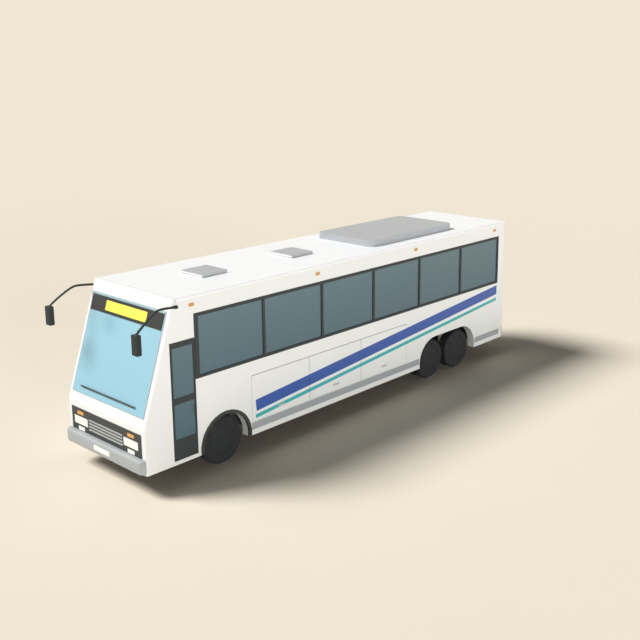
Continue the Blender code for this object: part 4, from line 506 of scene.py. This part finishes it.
def piece(name, shape, finish, body="coach_body", sharpFrom=40, recalc=True):
    # turns a bmesh into a named object at the origin that rides on its body
    if recalc:
        bmesh.ops.remove_doubles(shape, verts=shape.verts, dist=0.00002)
        bmesh.ops.recalc_face_normals(shape, faces=shape.faces)
    mesh = bpy.data.meshes.new(name)
    shape.to_mesh(mesh)
    shape.free()
    mesh.materials.append(finish)
    mesh.shade_smooth()
    mesh.set_sharp_from_angle(angle=math.radians(sharpFrom))
    made = bpy.data.objects.new(name, mesh)
    scene.collection.objects.link(made)
    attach(made, body)
    return made


# Wheels

tyreSize = {
    "steps": 72, "treadBase": 0.487, "blockHeight": 0.0072, "blockGap": 0.0028,
    "crownSlack": 0.0012, "crownHalf": 0.101,
    "wall": ((0.4875, 0.1), (0.4848, 0.112), (0.4765, 0.1235), (0.464, 0.1315), (0.44, 0.1375),
             (0.41, 0.1395), (0.37, 0.1398), (0.345, 0.1395), (0.341, 0.1382), (0.334, 0.1382),
             (0.33, 0.1393), (0.312, 0.1382), (0.3045, 0.134), (0.3008, 0.122)),
    "ribs": (0.0, 0.017, 0.022, 0.026, 0.056, 0.061, 0.065, 0.1), "grooveAt": (1, 4), "grooveFloor": 0.477,
}


def tyreLine():
    # half the section from the middle of the tread to the bead, then its mirror
    s = tyreSize
    half = []
    for number, out in enumerate(s["ribs"][1:]):
        half.append((s["grooveFloor"] if number in s["grooveAt"] else s["treadBase"], out))
    half = half[:-1] + list(s["wall"])
    return [(radius, -out) for radius, out in reversed(half)] + half


def tyrePiece(name, nodeName, body, side):
    s = tyreSize
    low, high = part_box(nodeName)
    centre = (low + high) / 2
    shape = bmesh.new()
    spun(shape, tyreLine() + [tyreLine()[0]], centre, side, s["steps"])
    bmesh.ops.recalc_face_normals(shape, faces=shape.faces)
    crown = []
    for face in shape.faces:
        spot = face.calc_center_median() - centre
        if math.hypot(spot.y, spot.z) > s["treadBase"] - s["crownSlack"] and abs(spot.x) < s["crownHalf"]:
            crown.append(face)
    bmesh.ops.inset_individual(shape, faces=crown, thickness=s["blockGap"], depth=s["blockHeight"])
    tyre = piece(name, shape, finishes["tyre_rubber"], body, sharpFrom=38)
    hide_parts(nodeName)


rimSize = {
    "steps": 64, "proud": 0.0056, "seat": 0.2995, "skin": 0.014, "barrelEnd": 0.06, "hubRadius": 0.1,
    "hubAt": (0.055, 0.13), "caps": 10, "capCircle": 0.168, "capRadius": 0.013, "capTaper": 0.86,
    "capHeight": 0.0035, "capRoot": 0.012, "capFloor": 0.0058,
    "face": ((0.0, -0.0038), (0.05, -0.004), (0.0555, -0.0062), (0.0605, -0.0062), (0.065, -0.0046),
             (0.12, -0.005), (0.2, -0.0062), (0.258, -0.008), (0.263, -0.0108), (0.2705, -0.0108),
             (0.276, -0.008), (0.2925, -0.0072), (0.2982, -0.009)),
}


def rimPiece(name, nodeName, body, side):
    # a plain cover nearly flush with the tyre, with a cap ring and ten shallow nut covers
    s = rimSize
    low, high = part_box(nodeName)
    depth = high.x - low.x
    outer = (high.x if side > 0 else low.x) + side * s["proud"]  # the CAD disc lies inside the tyre's face
    centre = Vector((outer, (low.y + high.y) / 2, (low.z + high.z) / 2))
    shape = bmesh.new()
    inner = s["seat"] - s["skin"]
    inside = [(s["seat"], -s["skin"]), (s["seat"], -depth), (inner, -depth), (inner, -s["barrelEnd"]),
              (s["hubRadius"], -s["hubAt"][0]), (s["hubRadius"], -s["hubAt"][1]), (0.0, -s["hubAt"][1])]
    spun(shape, list(s["face"]) + inside, centre, side, s["steps"])
    for number in range(s["caps"]):
        turn = math.tau * (number + 0.5) / s["caps"]
        spot = centre + Vector((0, math.cos(turn), math.sin(turn))) * s["capCircle"]
        bar(shape, spot - Vector((side * s["capRoot"], 0, 0)),
            spot + Vector((side * (s["capHeight"] - s["capFloor"]), 0, 0)), s["capRadius"], steps=20,
            endRadius=s["capRadius"] * s["capTaper"])
    rim = piece(name, shape, finishes["wheel_cover"], body, sharpFrom=32)
    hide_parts(nodeName)


for side, word in ((1, "left"), (-1, "right")):
    for axle in ("front", "tag"):
        tyrePiece(f"{axle}_{word}_tyre_dressed", f"{axle}_tyre_{word}", f"{axle}_{word}_wheel", side)
        rimPiece(f"{axle}_{word}_disc_dressed", f"{axle}_rim_{word}", f"{axle}_{word}_wheel", side)
    for twin in ("outer", "inner"):
        tyrePiece(f"drive_{word}_{twin}_tyre_dressed", f"drive_tyre_{word}_{twin}",
                  f"drive_{word}_wheel", side)
    rimPiece(f"drive_{word}_disc_dressed", f"drive_rim_{word}", f"drive_{word}_wheel", side)
print("stage: wheels made")


# Seats

padSize = {
    "cushion": (0.4, 0.4, 0.095), "back": (0.4, 0.66, 0.075), "cuts": 7, "corner": 0.1, "waist": 0.03,
    "thinning": 0.45, "voxel": 0.016, "pressure": 4.0, "simSteps": 20, "mostSwell": 0.012,
    "channels": (-0.066, 0.066), "channelHalf": 0.02, "channelDepth": 0.006,
    "bandAt": 0.17, "bandHalf": 0.022, "bandShare": 1.4,
}


def padShape(size, crown):
    # a soft-cornered block, thicker in the middle, its sides drawn in between the corners
    s = padSize
    shape = bmesh.new()
    bmesh.ops.create_cube(shape, size=1)
    bmesh.ops.subdivide_edges(shape, edges=shape.edges, cuts=s["cuts"], use_grid_fill=True)
    for vert in shape.verts:
        x, y, z = vert.co * 2
        acrossWave, alongWave = math.cos(x * math.pi / 2), math.cos(y * math.pi / 2)
        corner = 1 - s["corner"] * abs(y) ** 4 * abs(x) ** 4
        thin = 1 - s["thinning"] * max(abs(x) ** 6, abs(y) ** 6)
        vert.co.x = x / 2 * size[0] * corner * (1 - s["waist"] * alongWave)
        vert.co.y = y / 2 * size[1] * corner * (1 - s["waist"] * acrossWave)
        vert.co.z = z / 2 * size[2] * thin * (1 + crown * acrossWave * alongWave)
    mesh = bpy.data.meshes.new("pad_form")
    shape.to_mesh(mesh)
    shape.free()
    return mesh


def swollen(mesh):
    # fills the pad by cloth simulation under pressure, with a cap on how far a point may go
    s = padSize
    pad = bpy.data.objects.new("pad_swelling", mesh)
    scene.collection.objects.link(pad)
    remesh = pad.modifiers.new("remesh", "REMESH")
    remesh.mode = "VOXEL"
    remesh.voxel_size = s["voxel"]
    graph = bpy.context.evaluated_depsgraph_get()
    fresh = bpy.data.meshes.new_from_object(pad.evaluated_get(graph))
    pad.modifiers.clear()
    pad.data = fresh
    cloth = pad.modifiers.new("cloth", "CLOTH")
    cloth.settings.use_pressure = True
    cloth.settings.uniform_pressure_force = s["pressure"]
    cloth.settings.effector_weights.gravity = 0
    for step in range(1, s["simSteps"] + 1):
        scene.frame_set(step)
    graph = bpy.context.evaluated_depsgraph_get()
    puffed = bpy.data.meshes.new_from_object(pad.evaluated_get(graph))
    pad.modifiers.clear()
    for vert, after in zip(fresh.vertices, puffed.vertices):
        move = after.co - vert.co
        if move.length > s["mostSwell"]:
            move *= s["mostSwell"] / move.length
        vert.co += move
    scene.frame_set(1)
    bpy.data.objects.remove(pad)
    return fresh


def sewn(mesh, bands):
    # presses the sewn channels into the pad's upper face, and across it where a band is asked
    s = padSize
    for vert in mesh.vertices:
        if vert.co.z <= 0:
            continue
        for line in s["channels"]:
            near = max(0.0, 1 - abs(vert.co.x - line) / s["channelHalf"])
            vert.co.z -= s["channelDepth"] * near * near * (3 - 2 * near)
        for line in bands:
            near = max(0.0, 1 - abs(vert.co.y - line) / s["bandHalf"])
            vert.co.z -= s["channelDepth"] * s["bandShare"] * near * near * (3 - 2 * near)
    return mesh


seatSize = {"rows": 11, "first": 1.75, "pitch": 0.82, "outer": 1.17, "width": 0.43, "gap": 0.03,
            "base": 1.3303, "length": 0.66}
padAt = {"cushion": (0.215, 0.392), "cushionTilt": -3.5, "back": (0.545, 0.785), "backTilt": 90 - 11}


def seatColumns():
    # the middles of the two seats of a side, measured outwards
    s = seatSize
    return (s["outer"] - s["width"] / 2, s["outer"] - s["width"] * 1.5 - s["gap"])


def seatPlaces():
    s = seatSize
    places = []
    for row in range(s["rows"]):
        for side in (-1, 1):
            places += [(row, side * column) for column in seatColumns()]
    places.append((s["rows"] - 1, 0.0))
    return places


def padMatrix(x, front, base, part):
    # where a cushion or a back lies in a seat whose front is at this y
    behind, up = padAt[part]
    tilt = Matrix.Rotation(math.radians(padAt[part + "Tilt"]), 4, "X")
    return Matrix.Translation((x, front + behind, base + up)) @ tilt


def padPiece(name, mesh, matrices):
    shape = bmesh.new()
    for matrix in matrices:
        start = len(shape.verts)
        shape.from_mesh(mesh)
        shape.verts.ensure_lookup_table()
        bmesh.ops.transform(shape, matrix=matrix, verts=shape.verts[start:])
    made = piece(name, shape, finishes["seat_cloth"], sharpFrom=60, recalc=False)
    return made


cushionMesh = sewn(swollen(padShape(padSize["cushion"], crown=0.12)), bands=())
backMesh = sewn(swollen(padShape(padSize["back"], crown=0.1)), bands=(padSize["bandAt"],))
print("stage: pads filled")

seatPads = []
for word, sign in (("left", 1), ("right", -1)):
    spots = [(x, at(seatSize["first"] + row * seatSize["pitch"]))
             for row, x in seatPlaces() if (x > 0) == (sign > 0)]
    for part, mesh in (("cushion", cushionMesh), ("back", backMesh)):
        matrices = [padMatrix(x, y, seatSize["base"], part) for x, y in spots]
        seatPads.append(padPiece(f"seat_{part}s_{word}", mesh, matrices))

driverSize = {
    "x": -0.6, "station": 0.52, "base": 1.0203, "armOut": 0.225, "armRadius": 0.018,
    "arm": ((0.42, 0.6), (0.16, 0.62)),
    "blocks": (((-0.16, 0.1, 0), (0.16, 0.36, 0.04), 0.008, 2),
               ((-0.11, 0.13, 0.03), (0.11, 0.33, 0.31), 0.02, 3),
               ((-0.2, 0.04, 0.3), (0.2, 0.4, 0.35), 0.01, 2)),
}
driverSpot = Vector((driverSize["x"], at(driverSize["station"]), driverSize["base"]))
driverPads = [padPiece(f"driver_{part}", mesh, [padMatrix(*driverSpot, part)])
              for part, mesh in (("cushion", cushionMesh), ("back", backMesh))]

# pairs are (y, z) from the seat's front edge and the floor; the shell's corners lie on the leaning back
seatFrame = {
    "railHalf": 0.02, "railHeight": 0.03, "legHalf": 0.016, "leg": ((0.235, 0.02), (0.265, 0.33)),
    "beam": ((0.23, 0.3), (0.27, 0.34)), "pan": ((0.04, 0.335), (0.4, 0.35)),
    "arm": ((0.41, 0.55), (0.14, 0.58)), "armIn": 0.006, "armRadius": 0.016,
    "shell": ((-0.206, -0.36, -0.052), (0.206, 0.335, -0.03)),
    "shellTop": ((-0.12, 0.318, -0.05), (0.12, 0.318, -0.05)), "shellTopRadius": 0.012,
}


def seatFrames():
    # floor rails, legs, beams, arm rests and the moulded shells behind the backs
    s, f = seatSize, seatFrame
    shape, shells = bmesh.new(), bmesh.new()
    base = s["base"]
    end = at(s["first"] + (s["rows"] - 1) * s["pitch"]) + s["length"]
    inner = s["outer"] - 2 * s["width"] - s["gap"]
    feet = (s["outer"] - s["width"] / 4, s["outer"] - s["width"] * 1.75 - s["gap"])
    for side in (-1, 1):
        for x in feet:
            block(shape, (side * x - f["railHalf"], at(s["first"]), base),
                  (side * x + f["railHalf"], end, base + f["railHeight"]), bevel=0.004)
    for row in range(s["rows"]):
        front = at(s["first"] + row * s["pitch"])
        for side in (-1, 1):
            spans = [(side * x - f["legHalf"], side * x + f["legHalf"], "leg", 0.004) for x in feet]
            for part, bevel in (("beam", 0.006), ("pan", 0.005)):
                spans.append((side * inner, side * s["outer"], part, bevel))
            for left, right, part, bevel in spans:
                (nearY, nearZ), (farY, farZ) = f[part]
                block(shape, (left, front + nearY, base + nearZ), (right, front + farY, base + farZ), bevel)
            ends = [(side * (inner + f["armIn"]), front + y, base + z) for y, z in f["arm"]]
            bar(shape, *ends, f["armRadius"], steps=10)
    for row, x in seatPlaces():
        lean = padMatrix(x, at(s["first"] + row * s["pitch"]), base, "back")
        block(shells, *f["shell"], bevel=0.01, place=lean)
        bar(shells, *f["shellTop"], f["shellTopRadius"], steps=8, place=lean)
    frames = piece("seat_frames", shape, finishes["chassis_steel"])
    shellPiece = piece("seat_shells", shells, shellFinish)
    for made in (*seatPads, frames, shellPiece):
        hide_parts("passenger_seats")


def driverFrame():
    # the foot, pedestal and pan of the driver's seat, its shell and its arm rests
    s = driverSize
    shape = bmesh.new()
    for low, high, bevel, segments in s["blocks"]:
        block(shape, driverSpot + Vector(low), driverSpot + Vector(high), bevel, segments)
    block(shape, *seatFrame["shell"], bevel=0.01, place=padMatrix(*driverSpot, "back"))
    for side in (-1, 1):
        ends = [driverSpot + Vector((side * s["armOut"], y, z)) for y, z in s["arm"]]
        bar(shape, *ends, s["armRadius"], steps=10)
    made = piece("driver_seat_frame", shape, shellFinish)
    for item in (*driverPads, made):
        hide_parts("driver_seat")


seatFrames()
driverFrame()
print("stage: seats made")


# Outside dress: mirrors, gasket, bumpers, blank plates, door, flaps and roof

mirrorSize = {
    "headHalf": 0.08, "headRear": -0.125, "headUp": (2.82, 3.195), "inset": 0.012, "glass": (0.001, 0.003),
    "rimHalf": 0.072, "rimUp": (2.828, 3.187), "rimWidth": 0.004, "rim": (0.002, 0.006),
    "root": (1.2753, 0.8, 3.47), "boltReach": 0.018, "boltOut": 0.046, "bolt": (0.002, 0.004),
    "boltRadius": 0.0045,
}


def mirrorDress(word, side):
    # the glass and the rubber rim on the head's rear face, and four bolts at the arm's root
    s = mirrorSize
    low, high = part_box(f"mirror_{word}")
    headX = (high.x - s["headHalf"]) if side > 0 else (low.x + s["headHalf"])
    rearY = at(s["headRear"])
    foot, top = s["headUp"]
    reach = s["headHalf"] - s["inset"]
    shape = bmesh.new()
    block(shape, (headX - reach, rearY - s["glass"][0], foot + s["inset"]),
          (headX + reach, rearY + s["glass"][1], top - s["inset"]), bevel=0.0012)
    piece(f"mirror_glass_{word}", shape, mirrorFinish)
    rim = bmesh.new()
    foot, top = s["rimUp"]
    for one, two in borderBars(-s["rimHalf"], foot, s["rimHalf"], top, s["rimWidth"]):
        block(rim, (headX + one[0], rearY - s["rim"][0], one[1]),
              (headX + two[0], rearY + s["rim"][1], two[1]), bevel=0.001)
    x, station, z = s["root"]
    root = Vector((side * x, at(station), z))
    for dy, dz in ((-1, -1), (1, -1), (-1, 1), (1, 1)):
        spot = root + Vector((side * s["boltOut"], dy * s["boltReach"], dz * s["boltReach"]))
        bar(rim, spot - Vector((side * s["bolt"][0], 0, 0)), spot + Vector((side * s["bolt"][1], 0, 0)),
            s["boltRadius"], steps=6)
    piece(f"mirror_trim_{word}", rim, sealFinish)


for side, word in ((1, "left"), (-1, "right")):
    mirrorDress(word, side)

# where the front starts to lean back, where the roof is, and how far back it gets
rake = {"foot": 1.31, "head": 3.62, "run": 0.758}
rakeAngle = math.atan2(rake["run"], rake["head"] - rake["foot"])
rakePlace = Matrix.Translation((0, at(0), rake["foot"])) @ Matrix.Rotation(math.pi / 2 - rakeAngle, 4, "X")


def upRake(height):
    return (height - rake["foot"]) / math.cos(rakeAngle)


gasketSize = {"half": 1.172, "foot": 1.498, "head": 3.378, "out": 0.007, "in": 0.006,
              "depth": (0.001, 0.0155)}


def screenGasket():
    # the grey rubber that edges the windscreen
    s = gasketSize
    half, low, high = s["half"], upRake(s["foot"]), upRake(s["head"])
    shape = bmesh.new()
    for one, two in (((-half - s["out"], low - s["out"]), (half + s["out"], low + s["in"])),
                     ((-half - s["out"], high - s["in"]), (half + s["out"], high + s["out"])),
                     ((-half - s["out"], low), (-half + s["in"], high)),
                     ((half - s["in"], low), (half + s["out"], high))):
        block(shape, (*one, s["depth"][0]), (*two, s["depth"][1]), bevel=0.003, place=rakePlace)
    piece("screen_gasket", shape, gasketFinish)


bumperSize = {"edge": 0.058, "corner": 0.1, "steps": 7}


def bumperPiece(name, nodeName, facing):
    # the bar of the CAD box with soft edges: rings of the plan outline, drawn in towards the foot and the top
    s = bumperSize
    low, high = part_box(nodeName)
    outer, inner = (low.y, high.y) if facing < 0 else (high.y, low.y)
    turns = [math.pi / 2 * step / s["steps"] for step in range(s["steps"] + 1)]
    levels = [(s["edge"] * (1 - math.sin(t)), low.z + s["edge"] * (1 - math.cos(t))) for t in turns]
    levels += [(inset, low.z + high.z - height) for inset, height in reversed(levels)]
    shape = bmesh.new()
    rings = []
    for inset, height in levels:
        radius = s["corner"] - inset
        side = [(high.x - s["corner"] + radius * math.cos(t),
                 outer - facing * (s["corner"] - radius * math.sin(t))) for t in turns]
        outline = [(high.x - inset, inner)] + side
        outline += [(-x, y) for x, y in reversed(outline)]
        rings.append([shape.verts.new((x, y, height)) for x, y in outline])
    for under, over in zip(rings, rings[1:]):
        for number in range(len(under)):
            after = (number + 1) % len(under)
            shape.faces.new((under[number], under[after], over[after], over[number]))
    for ring in (rings[0], rings[-1]):
        shape.faces.new(ring)
    made = piece(name, shape, bumperFinish)
    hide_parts(nodeName)


plateSize = {"half": 0.26, "height": 0.103, "frontFoot": 0.545, "rearFoot": 0.556, "depth": 0.004,
             "rearOut": 0.003}


def blankPlates():
    s = plateSize
    shape = bmesh.new()
    front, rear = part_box("front_bumper")[0].y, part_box("rear_bumper")[1].y
    for face, out, foot in ((front, s["depth"], s["frontFoot"]), (rear, s["rearOut"], s["rearFoot"])):
        block(shape, (-s["half"], face - s["depth"], foot), (s["half"], face + out, foot + s["height"]),
              bevel=0.0015)
    piece("blank_plates", shape, plateFinish)


doorSize = {
    "margin": 0.03, "panes": ((1.715, 2.699), (0.902, 1.61)), "rubber": 0.009, "rubberIn": (0.0118, 0.004),
    "gripAt": 0.05, "gripRadius": 0.008,
    "grip": ((-0.002, 1.29), (0.03, 1.305), (0.03, 1.47), (-0.002, 1.485)),
}


def doorDress():
    # the rubber round each pane, and a grip near the closing edge
    s = doorSize
    low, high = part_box("door_leaf")
    face = high.x
    rubber = bmesh.new()
    for foot, top in s["panes"]:
        for a, b in borderBars(low.y + s["margin"], foot, high.y - s["margin"], top, s["rubber"]):
            block(rubber, (face - s["rubberIn"][0], *a), (face - s["rubberIn"][1], *b), bevel=0.0015)
    piece("door_rubbers", rubber, sealFinish, "passenger_door")
    grip = bmesh.new()
    pipe(grip, [Vector((face + out, high.y - s["gripAt"], z)) for out, z in s["grip"]], s["gripRadius"])
    piece("door_grip", grip, finishes["dark_trim"], "passenger_door", sharpFrom=50)


# each row: half length, foot and top, inner and outer distance from the middle plane, and bevel
pullParts = ((0.095, (0.812, 0.862), (1.2735, 1.2765), 0.001),
             (0.0765, (0.8235, 0.8505), (1.279, 1.2885), 0.003))


def flapPulls():
    # a grey grip over each luggage flap's handle, with a shallow finger plate behind it
    for side, word in ((1, "left"), (-1, "right")):
        for number in (1, 2, 3):
            low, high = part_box(f"luggage_door_{word}_{number}")
            middle = (low.y + high.y) / 2
            shape = bmesh.new()
            for half, (foot, top), out, bevel in pullParts:
                near, far = sorted(side * x for x in out)
                block(shape, (near, middle - half, foot), (far, middle + half, top), bevel)
            piece(f"flap_pull_{word}_{number}", shape, pullFinish,
                  f"{word}_luggage_flap_{number}")


roofSize = {
    "boltIn": 0.28, "boltAcross": (-0.55, 0.0, 0.55), "boltRise": 0.004, "boltRadius": (0.014, 0.011),
    "railOut": (1.2745, 1.279), "railAt": (0.86, 11.58), "railUp": (3.58, 3.587),
    "lipHalf": 0.35, "lipDepth": 0.004, "lipUp": (0.002, 0.03),
}


def roofDress():
    # bolts on the cooling unit, a drip rail along each side, and a lip on each hatch
    s = roofSize
    shape = bmesh.new()
    low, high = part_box("ac_unit")
    for y in (low.y + s["boltIn"], high.y - s["boltIn"]):
        for x in s["boltAcross"]:
            bar(shape, (x, y, high.z - s["boltRise"]), (x, y, high.z + s["boltRise"]),
                s["boltRadius"][0], endRadius=s["boltRadius"][1])
    piece("cooler_bolts", shape, coolerFinish)
    rail = bmesh.new()
    (near, far), (start, end), (foot, top) = s["railOut"], s["railAt"], s["railUp"]
    for side in (-1, 1):
        block(rail, (side * near, at(start), foot), (side * far, at(end), top), bevel=0.0015)
    piece("drip_rails", rail, finishes["roof_paint"])
    for word in ("front", "rear"):
        low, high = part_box(f"roof_hatch_{word}")
        lip = bmesh.new()
        block(lip, (-s["lipHalf"], low.y - s["lipDepth"], low.z + s["lipUp"][0]),
              (s["lipHalf"], low.y + s["lipDepth"], low.z + s["lipUp"][1]), bevel=0.002)
        piece(f"hatch_lip_{word}", lip, plateFinish, f"{word}_roof_hatch")


screenGasket()
bumperPiece("front_bumper_dressed", "front_bumper", -1)
bumperPiece("rear_bumper_dressed", "rear_bumper", 1)
blankPlates()
doorDress()
flapPulls()
roofDress()

# corners are measured from the steering wheel's column: x across, y back, z from the ground
cabSize = {
    "x": -0.6, "station": 0.3, "hood": ((-0.24, -0.1, 1.47), (0.24, 0.06, 1.57)),
    "dialReach": 0.11, "dialUp": 1.52, "dialDepth": (0.058, 0.066), "dialRadius": (0.038, 0.036),
    "switches": 6, "switchPitch": 0.05,
    "switch": ((0.25, -0.02, 1.475), (0.28, 0.02, 1.5)),
    "railX": 0.66, "rail": ((0.6, 1.025), (0.6, 1.92), (1.1, 2.12), (1.1, 1.335)), "railRadius": 0.016,
}


def cabDress():
    # the instrument hood over two plain dials, a row of switches and the grab rails by the steps
    s = cabSize
    shape = bmesh.new()
    dials = bmesh.new()
    middle = Vector((s["x"], at(s["station"]), 0))
    block(shape, *(middle + Vector(corner) for corner in s["hood"]), bevel=0.02, segments=3)
    for reach in (-s["dialReach"], s["dialReach"]):
        ends = [middle + Vector((reach, depth, s["dialUp"])) for depth in s["dialDepth"]]
        bar(dials, *ends, s["dialRadius"][0], steps=28, endRadius=s["dialRadius"][1])
    for number in range(s["switches"]):
        step = Vector((s["switchPitch"] * number, 0, 0))
        block(dials, *(middle + step + Vector(corner) for corner in s["switch"]), bevel=0.004)
    piece("instrument_hood", shape, finishes["dash_plastic"])
    piece("plain_dials", dials, plateFinish)
    rails = bmesh.new()
    pipe(rails, [Vector((s["railX"], at(station), z)) for station, z in s["rail"]], s["railRadius"], steps=12)
    piece("grab_rails", rails, railFinish, sharpFrom=50)


cabDress()
print("stage: dress made")


# Stage, light and camera

stageLook = {"backdrop": "f1e7d4", "floor": "e8ddca", "wear": "ede2cf", "fadeFrom": 12.0, "fadeTo": 46.0,
             "radius": 140.0, "sky": (0.9, 0.95, 1.0, 1.0), "skyStrength": 0.085}


def stage():
    # a pale floor that fades into the backdrop, and a faint sky that the camera sees as the backdrop
    s = stageLook
    shape = bmesh.new()
    bmesh.ops.create_circle(shape, cap_ends=True, segments=96, radius=s["radius"])
    mesh = bpy.data.meshes.new("studio_floor")
    shape.to_mesh(mesh)
    shape.free()
    floor = bpy.data.objects.new("studio_floor", mesh)
    scene.collection.objects.link(floor)
    mix = Recipe("studio_floor", Roughness=0.9, Specular_IOR_Level=0.1)
    mix.give(Base_Color=mix.blend(mix.cloud(0.5) * 0.5, shade(s["floor"]), shade(s["wear"])))
    away = mix.node("ShaderNodeVectorMath", {"operation": "LENGTH"}, {0: mix.place}, 1)
    far = (away - s["fadeFrom"]) / (s["fadeTo"] - s["fadeFrom"])
    far = far.maths("SMOOTH_MIN", far.maths("MAXIMUM", far, 0.0), 1.0, 0.2)
    glow = mix.node("ShaderNodeEmission", None, {"Color": shade(s["backdrop"]), "Strength": 1.0})
    lit = Wire(mix, mix.shader.outputs[0])
    both = mix.node("ShaderNodeMixShader", None, {0: far, 1: lit, 2: glow})
    mix.join(mix.tree.nodes["Material Output"].inputs[0], both)
    mesh.materials.append(mix.material)
    world = bpy.data.worlds.new("studio")
    scene.world = world
    world.use_nodes = True
    sky = Graph(world.node_tree)
    plain = sky.node("ShaderNodeBackground", None, {"Color": s["sky"], "Strength": s["skyStrength"]})
    seen = sky.node("ShaderNodeBackground", None, {"Color": shade(s["backdrop"]), "Strength": 1.0})
    direct = sky.node("ShaderNodeLightPath", output="Is Camera Ray")
    for kind in ("Is Glossy Ray", "Is Transmission Ray"):
        direct = direct.maths("MAXIMUM", direct, sky.node("ShaderNodeLightPath", output=kind))
    shown = sky.node("ShaderNodeMixShader", None, {0: direct, 1: plain, 2: seen})
    sky.join(sky.tree.nodes["World Output"].inputs[0], shown)


lights = {
    "key_sun": {"towards": (0.68, 0.59, -1.0), "strength": 4.05, "softness": 22.0,
                "colour": (0.98, 0.99, 1.0)},
    "side_sun": {"towards": (-0.95, 0.31, -0.045), "strength": 2.4, "softness": 10.0,
                 "colour": (0.97, 0.985, 1.0)},
}


def light():
    for name, s in lights.items():
        lamp = bpy.data.lights.new(name, "SUN")
        lamp.energy = s["strength"]
        lamp.angle = math.radians(s["softness"])
        lamp.color = s["colour"]
        holder = bpy.data.objects.new(name, lamp)
        holder.rotation_euler = Vector(s["towards"]).to_track_quat("-Z", "Y").to_euler()
        scene.collection.objects.link(holder)


cameraSize = {"place": (14.5405, -14.6929, 7.8782), "pitch": 90 - 12.617, "turn": 41.519, "lens": 51.66,
              "shift": (-0.0726, -0.0881), "sensor": 36, "reach": 400}


def camera():
    s = cameraSize
    data = bpy.data.cameras.new("camera")
    data.lens = s["lens"]
    data.sensor_width = s["sensor"]
    data.shift_x, data.shift_y = s["shift"]
    data.clip_end = s["reach"]
    holder = bpy.data.objects.new("camera", data)
    holder.location = s["place"]
    holder.rotation_euler = (math.radians(s["pitch"]), 0, math.radians(s["turn"]))
    scene.collection.objects.link(holder)
    scene.camera = holder


stage()
light()
camera()
scene.view_settings.view_transform = "Standard"
print("stage: stage, light and camera set")


print("stage: done")
